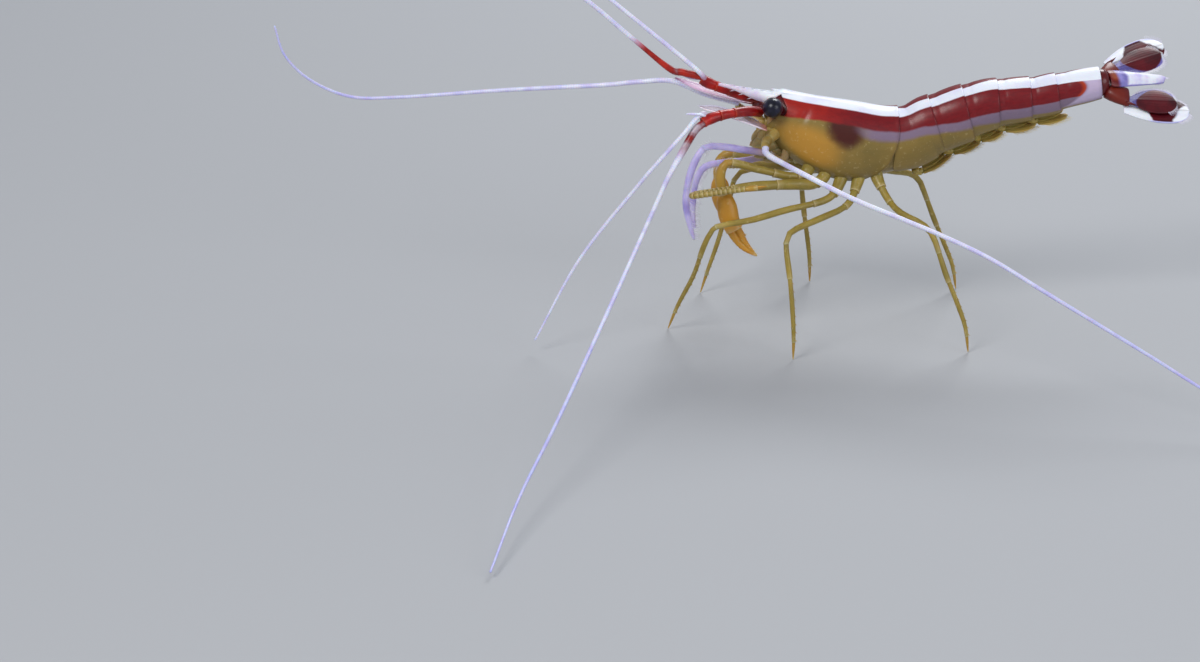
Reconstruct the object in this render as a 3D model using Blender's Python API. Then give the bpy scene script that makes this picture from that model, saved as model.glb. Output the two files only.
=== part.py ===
"""Cleaner shrimp, life size: a still figure that stands on its six walking legs.

The head points along -X, the left side faces -Y and +Z is up. The floor is Z = 0 and the origin
is the middle of the base of the whole outline, feelers included. Places along the body are in
millimetres from the hinge between carapace and tail; place() turns them into metres and moves
them to the origin. The trunk leans a little to its left and the tail fan leans further.
"""

import math

import bmesh
import bpy
from mathutils import Matrix, Vector

MM = 0.001

# Where the middle of the outline's base lies, from the hinge of carapace and tail.
BASE_MIDDLE_X = -17.2
BASE_MIDDLE_Y = -29.4

# Trunk: height of the back above the floor, depth and breadth, each along X.
BACK_HEIGHT = [(-19.7, 29.3), (-12.3, 28.0), (-4.1, 26.8), (0.9, 26.2), (3.2, 27.1),
               (8.1, 28.65), (11.3, 29.3), (16.2, 29.6), (20.2, 30.25), (24.3, 30.8)]
TRUNK_DEPTH = [(-13.0, 5.2), (-11.6, 6.6), (-9.0, 8.1), (-5.6, 9.1), (-2.4, 9.1), (0.9, 7.6),
               (4.0, 6.6), (8.0, 6.0), (12.0, 5.3), (16.0, 4.6), (20.0, 4.0), (24.3, 3.3)]
TRUNK_BREADTH = [(-13.0, 3.9), (-11.6, 5.3), (-9.0, 6.8), (-5.6, 7.4), (-2.4, 7.4), (0.9, 6.8),
                 (4.0, 6.4), (8.0, 6.1), (12.0, 5.4), (16.0, 4.7), (20.0, 4.2), (24.3, 3.4)]
TAIL_END_X = 24.3

# How far the back leans to the left, in degrees: the tail rolls further over than the head.
LEAN = [(-13.0, 9.0), (-5.0, 10.0), (1.0, 18.0), (5.0, 24.0), (12.0, 24.0), (24.3, 26.0)]

CARAPACE_FRONT = -12.3
CARAPACE_REAR = 0.7
CARAPACE_RINGS = 9
CARAPACE_FULLNESS = 2.6
CHEEK_FORWARD = 1.7
RING_SIDES = 18

# Where each abdominal segment starts; the last value ends the sixth.
SEGMENT_EDGES = [0.9, 4.0, 7.8, 11.8, 15.5, 18.4, 23.9]
SEGMENT_GAP = 0.25
SEGMENT_RINGS = 5
SEGMENT_FULLNESS = 3.0
PLEURON_DROOP = 0.06

ROSTRUM_BASE = -13.2
ROSTRUM_TIP = -19.7
ROSTRUM_DEPTH = 1.7
ROSTRUM_BREADTH = 0.9
ROSTRUM_TEETH = 6
ROSTRUM_DROP = 0.45
TOOTH_HEIGHT = 0.35

EYE_RADIUS = 1.12
EYE_PLACES = {"left": (-13.88, -3.25, 26.8), "right": (-14.6, 3.1, 25.8)}
EYESTALK_RADIUS = 0.7
# From an eye's centre to its stalk's root: back, in towards the middle and down.
EYESTALK_ROOT = (0.1, 2.2, -0.35)
EYESTALK_GAP = 0.25

FAN_LEAN = 34.0
FAN_YAW = 12.0
FAN_PITCH = -7.0
FAN_DROP = 0.5
TELSON_PITCH = -13.0
TELSON_LIFT = 0.7
TELSON = {"length": 7.2, "breadth": 2.4}
# Blades and their bases start this far along and out from the hinge, and turn out by spread.
UROPOD_BASE = {"run": -0.1, "out": 1.3, "lift": -0.6, "spread": 16.0, "length": 1.7}
OUTER_BLADES = {
    "left": {"run": 1.0, "out": 3.3, "lift": -0.75, "spread": 14.0, "length": 7.6, "breadth": 3.6},
    "right": {"run": 1.2, "out": 3.3, "lift": -0.75, "spread": 14.0, "length": 7.9, "breadth": 3.6},
}
INNER_BLADES = {
    "left": {"run": 2.0, "out": 3.0, "lift": 0.0, "spread": 12.0, "length": 5.3, "breadth": 3.6},
    "right": {"run": 2.1, "out": 2.5, "lift": 0.0, "spread": 9.0, "length": 6.0, "breadth": 3.6},
}
OUTER_WIDTHS = [(0, 0.4), (0.25, 0.72), (0.55, 1.0), (0.8, 0.9), (1, 0.4)]
INNER_WIDTHS = [(0, 0.25), (0.25, 0.7), (0.55, 1.0), (0.8, 0.9), (1, 0.4)]
BLADE_THICKNESS = 0.6
BLADE_RINGS = 7
TELSON_WIDTHS = [(0, 1.0), (0.5, 0.78), (0.85, 0.5), (1, 0.3)]
# How far past the last segment the fan's hinge lies.
FAN_HINGE_RUN = 0.4

PLEOPOD_REACH = 0.9
PLEOPOD_BREADTH = 1.3
PLEOPOD_THICKNESS = 0.8
PLEOPOD_SPREAD = 0.22
PLEOPOD_START = 0.12
PLEOPOD_DROP = 0.5

FOOT_RADIUS = 0.4
ANKLE_HEIGHT = 0.7
COXA_RADIUS = 0.75

RED = (0.33, 0.02, 0.015)
WHITE = (0.84, 0.86, 0.92)
OCHRE = (0.42, 0.30, 0.09)
OLIVE = (0.40, 0.34, 0.09)
LILAC = (0.52, 0.46, 0.66)
BLACK = (0.01, 0.01, 0.015)
SHELL_ROUGHNESS = 0.35
SHARP_ANGLE = 50.0


def clear_scene():
    for old in list(bpy.data.objects):
        bpy.data.objects.remove(old, do_unlink=True)


def place(point):
    """A point in millimetres from the hinge, as metres from the origin."""
    x, y, z = point
    return Vector((x - BASE_MIDDLE_X, y - BASE_MIDDLE_Y, z)) * MM


def read(table, x):
    """The value at x on a smooth curve through the table's (x, value) pairs."""
    xs = [pair[0] for pair in table]
    values = [pair[1] for pair in table]
    slopes = []
    for i in range(len(xs)):
        a, b = max(i - 1, 0), min(i + 1, len(xs) - 1)
        slopes.append((values[b] - values[a]) / (xs[b] - xs[a]))
    x = min(max(x, xs[0]), xs[-1])
    i = min(sum(x >= start for start in xs[1:]), len(xs) - 2)
    span = xs[i + 1] - xs[i]
    t = (x - xs[i]) / span
    rise = values[i] * (1 - t) ** 2 * (1 + 2 * t) + values[i + 1] * t * t * (3 - 2 * t)
    return rise + span * (slopes[i] * t * (1 - t) ** 2 - slopes[i + 1] * t * t * (1 - t))


def smooth_path(points, steps):
    """Points on a smooth curve through the given ones, steps to each stretch."""
    points = [Vector(p) for p in points]
    ends = [2 * points[0] - points[1], *points, 2 * points[-1] - points[-2]]
    path = []
    for i in range(1, len(ends) - 2):
        before, start, stop, after = ends[i - 1:i + 3]
        for step in range(steps):
            t = step / steps
            path.append(0.5 * (2 * start + (stop - before) * t
                               + (2 * before - 5 * start + 4 * stop - after) * t ** 2
                               + (3 * start - before - 3 * stop + after) * t ** 3))
    return [*path, points[-1]]


def material(name, colour):
    """The part's own painted shell: one colour with a soft gloss."""
    paint = bpy.data.materials.new(name)
    paint.use_nodes = True
    shader = paint.node_tree.nodes["Principled BSDF"]
    shader.inputs["Base Color"].default_value = (*colour, 1.0)
    shader.inputs["Roughness"].default_value = SHELL_ROUGHNESS
    shader.inputs["Metallic"].default_value = 0.0
    return paint


def add_object(name, data, colour):
    """Links an object for one sub-part and gives it its own material."""
    thing = bpy.data.objects.new(name, data)
    bpy.context.collection.objects.link(thing)
    data.materials.append(material(name, colour))
    return thing


def egg(point, fullness):
    """Moves a point of the unit circle so that the lower half is fuller than the upper."""
    if point.y >= 0:
        return point
    power = 2 / fullness
    side = math.copysign(abs(point.x) ** power, point.x)
    return Vector((side, -abs(point.y) ** power, 0))


def loft(name, rings, colour, sides=RING_SIDES, fullness=2.0):
    """A closed skin over rings, each a matrix that carries the unit circle to its place."""
    shape = bmesh.new()
    loops = []
    for ring in rings:
        made = bmesh.ops.create_circle(shape, cap_ends=False, segments=sides, radius=1.0)
        for vertex in made["verts"]:
            vertex.co = place(ring @ egg(vertex.co, fullness))
        loops.append(made["verts"])
    for first, second in zip(loops, loops[1:]):
        edges = {e for v in (*first, *second) for e in v.link_edges if len(e.link_faces) < 2}
        wanted = set(first) | set(second)
        bmesh.ops.bridge_loops(shape, edges=[e for e in edges if set(e.verts) <= wanted])
    for loop in (loops[0], loops[-1]):
        bmesh.ops.contextual_create(shape, geom=loop)
    bmesh.ops.recalc_face_normals(shape, faces=shape.faces)
    mesh = bpy.data.meshes.new(name)
    shape.to_mesh(mesh)
    shape.free()
    mesh.shade_smooth()
    mesh.set_sharp_from_angle(angle=math.radians(SHARP_ANGLE))
    return add_object(name, mesh, colour)


def tube(name, points, radii, colour, steps=2, resolution=2, foot=None):
    """A round limb through the points, whose radius follows the table of (share, radius).

    A foot is the spot on the floor where the limb's end comes straight down.
    """
    if foot:
        points = [*points, (*foot, ANKLE_HEIGHT)]
    path = smooth_path(points, steps)
    if foot:
        path.append(Vector((*foot, 0.0)))
    runs = [0.0]
    for a, b in zip(path, path[1:]):
        runs.append(runs[-1] + (b - a).length)
    data = bpy.data.curves.new(name, "CURVE")
    data.dimensions = "3D"
    data.bevel_depth = MM
    data.bevel_resolution = resolution
    data.use_fill_caps = True
    spline = data.splines.new("POLY")
    spline.points.add(len(path) - 1)
    for knot, point, run in zip(spline.points, path, runs):
        knot.co = (*place(point), 1.0)
        knot.radius = read(radii, run / runs[-1])
    return add_object(name, data, colour)


def side_sign(side):
    return -1 if side == "left" else 1


def trunk_frame(x):
    """Centre, tail-ward, left-hand and back-ward directions of the trunk's section at x."""
    step = 0.05
    rise = (read(BACK_HEIGHT, x + step) - read(BACK_HEIGHT, x - step)) / (2 * step)
    along = Vector((1, 0, rise)).normalized()
    up = Vector((-along.z, 0, along.x))
    centre = Vector((x, 0, read(BACK_HEIGHT, x))) - up * read(TRUNK_DEPTH, x) / 2
    lean = Matrix.Rotation(math.radians(read(LEAN, x)), 3, along)
    return centre, along, lean @ Vector((0, -1, 0)), lean @ up


def oval(side_arm, up_arm, along, centre):
    """A matrix that carries the unit circle to an oval with these half-axes."""
    rows = [(side_arm[i], up_arm[i], along[i], centre[i]) for i in range(3)]
    return Matrix((*rows, (0, 0, 0, 1)))


def trunk_ring(x, cheek=0.0, swell=1.0, droop=0.0):
    """The trunk's section at x. cheek slides its lower edge forward; droop lengthens it."""
    centre, along, left, up = trunk_frame(x)
    half_depth = read(TRUNK_DEPTH, x) / 2 * swell
    half_breadth = read(TRUNK_BREADTH, x) / 2 * swell
    slide = along * cheek / 2
    centre = centre - up * half_depth * droop - slide
    return oval(left * half_breadth, up * half_depth * (1 + droop) + slide, along, centre)


def make_carapace():
    """The shield over head and thorax: its front edge slopes forward to the cheeks."""
    rings = []
    for i in range(CARAPACE_RINGS):
        share = i / (CARAPACE_RINGS - 1)
        x = CARAPACE_FRONT + (CARAPACE_REAR - CARAPACE_FRONT) * share
        rings.append(trunk_ring(x, cheek=CHEEK_FORWARD * (1 - share) ** 2))
    loft("carapace", rings, RED, fullness=CARAPACE_FULLNESS)


def make_rostrum():
    """A narrow blade in front of the back, with a row of teeth along its upper edge."""
    rings = []
    steps = 2 * ROSTRUM_TEETH
    for i in range(steps + 1):
        share = i / steps
        x = ROSTRUM_BASE + (ROSTRUM_TIP - ROSTRUM_BASE) * share
        taper = 1 - 0.8 * share
        ridge = read(BACK_HEIGHT, x) - ROSTRUM_DROP
        top = ridge + (TOOTH_HEIGHT * taper if i % 2 else 0)
        bottom = ridge - ROSTRUM_DEPTH * taper
        middle = Vector((x, 0, (top + bottom) / 2))
        half = ROSTRUM_BREADTH / 2 * (1 - 0.45 * share)
        rings.append(oval(Vector((0, half, 0)), Vector((0, 0, (top - bottom) / 2)),
                          Vector((-1, 0, 0)), middle))
    loft("rostrum", rings, WHITE, sides=8)


def make_mouthparts():
    """The jaws and small feeding limbs, packed together below the head."""
    rings = []
    for x, half, top, bottom in ((-15.1, 1.0, 22.9, 20.6), (-15.7, 1.2, 23.0, 20.2),
                                 (-16.4, 1.1, 22.6, 20.1), (-17.1, 0.6, 22.0, 20.6)):
        middle = Vector((x, 0.3, (top + bottom) / 2))
        rings.append(oval(Vector((0, half, 0)), Vector((0, 0, (top - bottom) / 2)),
                          Vector((-1, 0, 0)), middle))
    loft("mouthparts", rings, OCHRE, sides=12)


def make_eyes():
    """Round black eyes, each on a short stalk from under the beak."""
    for side, place_of_eye in EYE_PLACES.items():
        sign = side_sign(side)
        centre = Vector(place_of_eye)
        shape = bmesh.new()
        bmesh.ops.create_uvsphere(shape, u_segments=14, v_segments=9, radius=EYE_RADIUS * MM)
        bmesh.ops.translate(shape, verts=shape.verts, vec=place(centre))
        mesh = bpy.data.meshes.new(f"eye_{side}")
        shape.to_mesh(mesh)
        shape.free()
        mesh.shade_smooth()
        add_object(f"eye_{side}", mesh, BLACK)
        back, inward, down = EYESTALK_ROOT
        root = centre + Vector((back, -sign * inward, down))
        reach = root - centre
        end = centre + reach.normalized() * (EYE_RADIUS + EYESTALK_GAP)
        tube(f"eyestalk_{side}", [root, root.lerp(end, 0.5), end],
             [(0, EYESTALK_RADIUS), (1, EYESTALK_RADIUS * 1.15)], RED)


def make_antennules():
    """The upper pair of feelers: a red stem, then an outer and an inner whip on each side."""
    stems = {
        "left": [(-14.9, -1.4, 25.8), (-15.9, -2.6, 26.3), (-17.2, -3.6, 26.5),
                 (-19.4, -4.9, 26.5), (-21.0, -5.6, 26.2)],
        "right": [(-14.9, 1.3, 26.7), (-16.2, 1.3, 26.9), (-17.8, 1.4, 27.3),
                  (-19.7, 1.5, 28.0), (-20.9, 1.6, 28.5)],
    }
    outer = {
        "left": [(-21.6, -6.0, 25.8), (-22.4, -6.2, 25.2), (-23.2, -6.6, 24.0), (-24.0, -7.4, 22.8),
                 (-25.7, -9.6, 20.3), (-27.2, -13.4, 18.1), (-32.2, -30.0, 12.3),
                 (-37.5, -48.0, 6.6), (-41.3, -61.0, 3.2), (-43.9, -74.0, 0.9)],
        "right": [(-21.8, 1.9, 29.2), (-23.6, 2.2, 29.5), (-25.4, 2.5, 30.0), (-30.0, 3.6, 33.6),
                  (-35.0, 5.0, 37.5), (-44.0, 7.6, 43.4), (-55.0, 10.5, 48.6),
                  (-66.0, 13.0, 51.2), (-76.0, 15.0, 51.6)],
    }
    inner = {
        "left": [(-21.6, -5.5, 27.0), (-22.5, -6.1, 26.3), (-23.8, -6.9, 24.9), (-26.5, -7.4, 21.9),
                 (-28.8, -7.7, 19.2), (-35.5, -8.5, 10.6), (-40.7, -10.6, 1.6)],
        "right": [(-21.6, 1.0, 29.7), (-24.0, 1.2, 31.7), (-32.0, 2.6, 38.0), (-40.5, 4.6, 44.4),
                  (-49.0, 6.6, 50.6), (-56.5, 8.0, 57.0)],
    }
    for side in ("left", "right"):
        tube(f"antennule_{side}", stems[side],
             [(0, 0.5), (0.45, 0.5), (0.75, 0.68), (1, 0.55)], RED)
        tube(f"antennule_outer_{side}", outer[side],
             [(0, 0.45), (0.06, 0.42), (0.14, 0.33), (0.6, 0.28), (1, 0.25)], LILAC, resolution=1)
        tube(f"antennule_inner_{side}", inner[side],
             [(0, 0.3), (0.15, 0.32), (0.6, 0.28), (1, 0.25)], LILAC, resolution=1)


def make_antennae():
    """The lower pair of feelers: a base, a flat scale beside it and one long whip each."""
    bases = {
        "left": [(-14.0, -2.8, 23.1), (-14.3, -3.4, 22.8), (-14.4, -4.0, 22.5)],
        "right": [(-14.8, 2.5, 23.6), (-15.9, 2.9, 24.1), (-17.0, 3.1, 25.0)],
    }
    scales = {
        "left": [(-14.9, -3.1, 24.7), (-16.3, -3.0, 25.3), (-17.5, -2.8, 25.7), (-19.8, -2.6, 26.4),
                 (-21.9, -2.5, 26.8)],
        "right": [(-16.0, 2.8, 26.0), (-18.8, 3.0, 26.7), (-21.8, 3.2, 27.5), (-24.6, 3.3, 28.5)],
    }
    whips = {
        "left": [(-14.5, -4.6, 22.2), (-14.3, -5.1, 22.0), (-13.8, -5.7, 21.8), (-12.7, -6.9, 21.5),
                 (-10.7, -9.0, 21.0), (-5.2, -12.8, 19.2), (0.4, -16.6, 17.9),
                 (4.7, -19.6, 16.9), (9.7, -22.8, 15.3), (15.7, -26.5, 12.5),
                 (26.0, -32.0, 7.5), (31.1, -35.0, 5.0), (36.3, -38.4, 2.8), (41.5, -42.0, 1.3)],
        "right": [(-17.3, 3.9, 25.4), (-21.0, 4.3, 26.4), (-24.9, 4.4, 27.9), (-28.7, 4.6, 27.8),
                  (-33.2, 5.0, 27.2), (-44.9, 7.0, 26.0), (-56.7, 9.0, 24.6),
                  (-62.6, 10.0, 24.4), (-67.2, 10.0, 26.4), (-70.1, 10.0, 29.4),
                  (-71.2, 10.0, 33.0)],
    }
    for side in ("left", "right"):
        tube(f"antenna_base_{side}", bases[side], [(0, 0.7), (0.6, 0.68), (1, 0.55)], OCHRE)
        make_scale(f"antenna_scale_{side}", scales[side])
        tube(f"antenna_{side}", whips[side],
             [(0, 0.42), (0.1, 0.36), (0.6, 0.29), (1, 0.25)], LILAC, resolution=1)


def make_scale(name, spine):
    """The antenna's flat oval plate, along the given spine."""
    path = smooth_path(spine, 2)
    rings = []
    for i, point in enumerate(path):
        share = i / (len(path) - 1)
        along = (path[min(i + 1, len(path) - 1)] - path[max(i - 1, 0)]).normalized()
        side_arm = Vector((0, 1, 0.16)).normalized()
        up = side_arm.cross(along).normalized()
        half = 0.45 + 0.6 * math.sin(math.pi * min(0.92 * share + 0.14, 1)) ** 0.7
        rings.append(oval(side_arm * half, up * BLADE_THICKNESS / 2, along, point))
    loft(name, rings, LILAC, sides=10)


def make_maxillipeds():
    """The last pair of feeding limbs, held out in front and bent down like a pair of hooks."""
    paths = {
        "left": [(-12.4, -1.7, 20.2), (-14.3, -2.0, 21.1), (-17.0, -2.1, 21.6), (-19.3, -2.3, 22.0),
                 (-21.2, -2.6, 22.0), (-22.3, -3.0, 20.6), (-23.1, -3.3, 18.3),
                 (-23.4, -3.5, 15.7), (-22.9, -3.5, 12.9), (-22.4, -3.5, 11.2)],
        "right": [(-12.2, 2.4, 19.3), (-14.3, 2.4, 19.3), (-16.6, 2.2, 18.9), (-18.7, 2.0, 18.8),
                  (-20.6, 1.9, 18.5), (-21.7, 1.8, 17.6), (-22.3, 1.7, 15.6),
                  (-22.5, 1.7, 12.9), (-22.2, 1.7, 10.8)],
    }
    for side, path in paths.items():
        tube(f"maxilliped_{side}", path,
             [(0, 0.45), (0.4, 0.42), (0.62, 0.45), (0.85, 0.38), (1, 0.25)], LILAC)


def make_claws():
    """The first pair of legs, bent down at the wrist to a stout pincer hand."""
    arms = {
        "left": [(-9.6, -2.0, 18.5), (-11.4, -2.8, 18.6), (-15.1, -3.3, 19.6), (-18.4, -3.9, 20.6),
                 (-19.3, -4.1, 19.9), (-19.5, -4.2, 18.5), (-19.1, -4.3, 17.1)],
        "right": [(-9.6, 2.7, 19.1), (-11.4, 3.4, 18.9), (-14.9, 4.3, 18.7), (-18.0, 4.9, 19.0),
                  (-19.1, 5.1, 18.3), (-19.4, 5.2, 17.1), (-19.3, 5.2, 16.1)],
    }
    hands = {
        "left": [(-19.0, -4.3, 16.7), (-18.7, -4.5, 15.4), (-18.3, -4.8, 13.8), (-16.9, -5.0, 11.3),
                 (-15.2, -5.1, 9.7)],
        "right": [(-19.3, 5.2, 15.6), (-19.1, 5.2, 14.3), (-18.7, 5.1, 12.7), (-17.5, 4.9, 10.3),
                  (-16.1, 4.7, 8.8)],
    }
    for side in ("left", "right"):
        tube(f"leg_1_{side}", arms[side],
             [(0, COXA_RADIUS), (0.15, 0.6), (0.5, 0.5), (0.8, 0.45), (1, 0.55)], OLIVE)
        tube(f"claw_{side}", hands[side],
             [(0, 0.65), (0.25, 1.1), (0.5, 0.98), (0.75, 0.65), (1, 0.25)], OLIVE, steps=3)


def make_folded_legs():
    """The second pair of legs: long, thin and folded back on themselves at the knee."""
    paths = {
        "left": [(-7.6, -2.0, 17.8), (-8.9, -3.0, 17.7), (-11.0, -3.9, 18.0), (-15.5, -5.0, 18.1),
                 (-19.6, -6.0, 17.9), (-22.1, -6.5, 17.7), (-22.8, -7.0, 17.6),
                 (-22.0, -7.5, 17.8), (-18.5, -7.5, 18.3), (-14.2, -7.2, 18.8)],
        "right": [(-7.6, 2.8, 18.5), (-9.0, 3.8, 17.9), (-11.5, 5.4, 17.3), (-15.0, 7.0, 16.9),
                  (-18.4, 8.2, 16.5), (-19.2, 8.9, 16.5), (-18.4, 9.5, 16.7),
                  (-15.4, 9.3, 17.3), (-12.4, 8.9, 17.9)],
    }
    for side, path in paths.items():
        tube(f"leg_2_{side}", path,
             [(0, COXA_RADIUS), (0.1, 0.55), (0.25, 0.62), (0.5, 0.42), (0.75, 0.34), (0.9, 0.38),
              (1, 0.25)], OLIVE)


def make_walking_legs():
    """Three pairs of slender legs. Each ends in a small flat on the floor."""
    paths = {
        "leg_3_left": [(-5.6, -1.9, 17.5), (-7.2, -3.8, 16.2), (-12.2, -5.6, 15.4),
                       (-16.0, -6.4, 14.5), (-19.7, -7.0, 14.0), (-20.7, -6.9, 13.0),
                       (-21.5, -6.4, 11.0), (-22.5, -5.0, 7.3), (-24.2, -3.7, 3.3)],
        "leg_3_right": [(-5.6, 2.9, 18.2), (-7.2, 4.6, 17.2), (-11.0, 7.2, 16.5),
                        (-14.4, 9.0, 15.9), (-16.6, 10.0, 15.1), (-17.4, 10.3, 13.8),
                        (-18.1, 10.3, 10.5), (-19.2, 10.2, 6.3), (-20.3, 10.0, 3.0)],
        "leg_4_left": [(-3.6, -1.9, 17.5), (-4.9, -4.3, 15.7), (-8.0, -6.8, 14.9),
                       (-10.9, -9.1, 14.4), (-12.0, -10.3, 13.9), (-12.2, -11.0, 12.6),
                       (-11.8, -11.9, 9.5), (-11.5, -12.5, 6.4), (-11.3, -13.0, 3.0)],
        "leg_4_right": [(-3.6, 2.9, 18.2), (-4.9, 5.2, 16.7), (-6.6, 7.9, 15.9),
                        (-8.3, 10.2, 15.2), (-9.1, 11.3, 14.2), (-9.2, 11.8, 12.6),
                        (-8.8, 12.6, 9.0), (-8.3, 13.3, 5.6), (-8.0, 13.7, 3.0)],
        "leg_5_left": [(-1.4, -1.8, 17.7), (-0.2, -3.9, 16.1), (1.1, -6.0, 15.2),
                       (3.2, -7.9, 14.6), (4.3, -8.8, 13.8), (4.9, -9.2, 12.5),
                       (6.1, -9.8, 9.0), (7.5, -10.3, 5.6), (8.4, -10.6, 3.0)],
        "leg_5_right": [(-1.4, 2.9, 18.3), (-0.4, 4.8, 17.1), (1.0, 6.8, 16.2),
                        (3.2, 8.6, 15.4), (4.4, 9.4, 14.4), (5.1, 9.8, 12.9),
                        (6.5, 10.3, 9.2), (8.0, 10.8, 5.6), (9.0, 11.1, 3.0)],
    }
    feet = {"leg_3_left": (-25.3, -2.8), "leg_3_right": (-21.2, 9.8), "leg_4_left": (-11.3, -13.1),
            "leg_4_right": (-7.9, 13.8), "leg_5_left": (8.8, -10.7), "leg_5_right": (9.5, 11.2)}
    for name, path in paths.items():
        tube(name, path,
             [(0, COXA_RADIUS), (0.1, 0.5), (0.3, 0.42), (0.5, 0.35), (0.6, 0.37), (0.8, 0.3),
              (1, FOOT_RADIUS)], OLIVE, foot=feet[name])


def make_abdomen():
    """Six rings of the tail. Each is fullest at its middle, where its side flaps hang."""
    edges = zip(SEGMENT_EDGES, SEGMENT_EDGES[1:])
    for number, (start, stop) in enumerate(edges, start=1):
        rings = []
        for i in range(SEGMENT_RINGS):
            share = i / (SEGMENT_RINGS - 1)
            x = start + SEGMENT_GAP / 2 + (stop - start - SEGMENT_GAP) * share
            bulge = math.sin(math.pi * share)
            droop = PLEURON_DROOP * bulge if number < 6 else 0.0
            rings.append(trunk_ring(x, swell=0.96 + 0.04 * bulge ** 0.5, droop=droop))
        loft(f"abdomen_{number}", rings, RED, fullness=SEGMENT_FULLNESS)


def pleopod_root(x, side):
    """Where a paddle hangs from the belly at x."""
    centre, along, left, up = trunk_frame(x)
    drop = read(TRUNK_DEPTH, x) / 2 * (1 + 2 * PLEURON_DROOP) + PLEOPOD_DROP
    return centre - up * drop - left * side_sign(side) * read(TRUNK_BREADTH, x) * PLEOPOD_SPREAD


def make_pleopods():
    """Five pairs of swimming paddles, folded back under the first five rings of the tail."""
    starts = [a + PLEOPOD_START * (b - a) for a, b in zip(SEGMENT_EDGES, SEGMENT_EDGES[1:])]
    for number, (x, next_x) in enumerate(zip(starts, starts[1:]), start=1):
        _, _, left, up = trunk_frame(x)
        for side in ("left", "right"):
            root = pleopod_root(x, side)
            reach = (pleopod_root(next_x, side) - root) * PLEOPOD_REACH
            rings = []
            for share, width in ((0, 0.55), (0.2, 0.9), (0.5, 1.0), (0.8, 0.8), (1, 0.3)):
                side_arm = left * PLEOPOD_BREADTH / 2 * width
                up_arm = up * PLEOPOD_THICKNESS / 2 * (0.6 + 0.4 * width)
                rings.append(oval(side_arm, up_arm, reach.normalized(), root + reach * share))
            loft(f"pleopod_{number}_{side}", rings, OCHRE, sides=8)


def blade(name, root, along, side_arm, size, colour, widths):
    """A flat tail plate: widths are its (share of length, share of breadth) pairs."""
    up = side_arm.cross(along).normalized()
    rings = []
    for i in range(BLADE_RINGS):
        share = i / (BLADE_RINGS - 1)
        half = size["breadth"] / 2 * read(widths, share)
        thick = BLADE_THICKNESS / 2 * (1 if share < 0.95 else 0.85)
        rings.append(oval(side_arm * half, up * thick, along, root + along * size["length"] * share))
    loft(name, rings, colour, sides=10)


def make_tail_fan():
    """The pointed middle plate and, on each side, a base with an inner and an outer blade."""
    centre, spine, left, up = trunk_frame(TAIL_END_X)
    hinge = centre + spine * FAN_HINGE_RUN
    turn = Matrix.Rotation(math.radians(FAN_LEAN - read(LEAN, TAIL_END_X)), 3, spine)
    turn = Matrix.Rotation(math.radians(FAN_YAW), 3, turn @ up) @ turn
    turn = Matrix.Rotation(math.radians(FAN_PITCH), 3, turn @ left) @ turn
    along, left, up = turn @ spine, turn @ left, turn @ up
    hinge -= up * FAN_DROP
    telson_way = Matrix.Rotation(math.radians(TELSON_PITCH), 3, left) @ along
    blade("telson", hinge + up * TELSON_LIFT, telson_way, left, TELSON, WHITE, TELSON_WIDTHS)
    for side in ("left", "right"):
        out = -side_sign(side) * left
        sweep = math.radians(UROPOD_BASE["spread"])
        way = along * math.cos(sweep) + out * math.sin(sweep)
        arm = up.cross(way).normalized()
        root = hinge + along * UROPOD_BASE["run"] + out * UROPOD_BASE["out"]
        root += up * UROPOD_BASE["lift"]
        rings = [oval(arm * half, up * thick, way, root + way * UROPOD_BASE["length"] * share)
                 for share, half, thick in ((0, 0.8, 0.6), (0.3, 1.0, 0.85),
                                            (0.7, 1.0, 0.8), (1, 0.7, 0.5))]
        loft(f"uropod_base_{side}", rings, RED, sides=10)
        for kind, size, widths in (("outer", OUTER_BLADES[side], OUTER_WIDTHS),
                                   ("inner", INNER_BLADES[side], INNER_WIDTHS)):
            sweep = math.radians(size["spread"])
            way = along * math.cos(sweep) + out * math.sin(sweep)
            start = hinge + along * size["run"] + out * size["out"] + up * size["lift"]
            blade(f"uropod_{kind}_{side}", start, way, up.cross(way).normalized(), size, RED,
                  widths)


clear_scene()
make_carapace()
make_rostrum()
make_mouthparts()
make_eyes()
make_antennules()
make_antennae()
make_maxillipeds()
make_claws()
make_folded_legs()
make_walking_legs()
make_abdomen()
make_pleopods()
make_tail_fan()
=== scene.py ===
"""Cleaner shrimp, life size: the looks of a still figure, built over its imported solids.

The head points along -X, the left side faces -Y and +Z is up. Places are in millimetres from the
hinge between carapace and tail, 17.2 mm behind and 29.4 mm to the right of the world's origin.
"""

import math
import random

import bmesh
import bpy
from mathutils import Matrix, Vector


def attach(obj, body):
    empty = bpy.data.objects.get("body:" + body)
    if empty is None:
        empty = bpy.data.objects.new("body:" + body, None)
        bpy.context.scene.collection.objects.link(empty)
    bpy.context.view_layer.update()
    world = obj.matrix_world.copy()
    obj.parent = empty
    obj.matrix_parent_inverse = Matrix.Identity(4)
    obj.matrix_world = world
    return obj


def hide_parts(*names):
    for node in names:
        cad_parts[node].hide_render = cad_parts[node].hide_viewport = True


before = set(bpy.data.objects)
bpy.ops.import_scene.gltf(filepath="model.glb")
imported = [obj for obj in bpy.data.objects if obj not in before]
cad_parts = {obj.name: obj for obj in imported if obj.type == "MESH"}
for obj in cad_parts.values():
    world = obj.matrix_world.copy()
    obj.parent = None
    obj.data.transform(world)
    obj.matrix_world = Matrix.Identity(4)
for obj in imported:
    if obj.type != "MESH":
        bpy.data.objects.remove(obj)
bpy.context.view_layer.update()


# ---- Floor, light and camera ----
# A plain pale floor under soft studio light. The camera stands off the shrimp's left side, looks
# down on it by twenty degrees, and has the long lens of a close view from outside a tank.
MM = 0.001
FLOOR_COLOUR = (0.42, 0.43, 0.45, 1.0)
CAMERA_PLACE = (-16.035, -353.8, 138.2)
CAMERA_DOWN = 20.0
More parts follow.
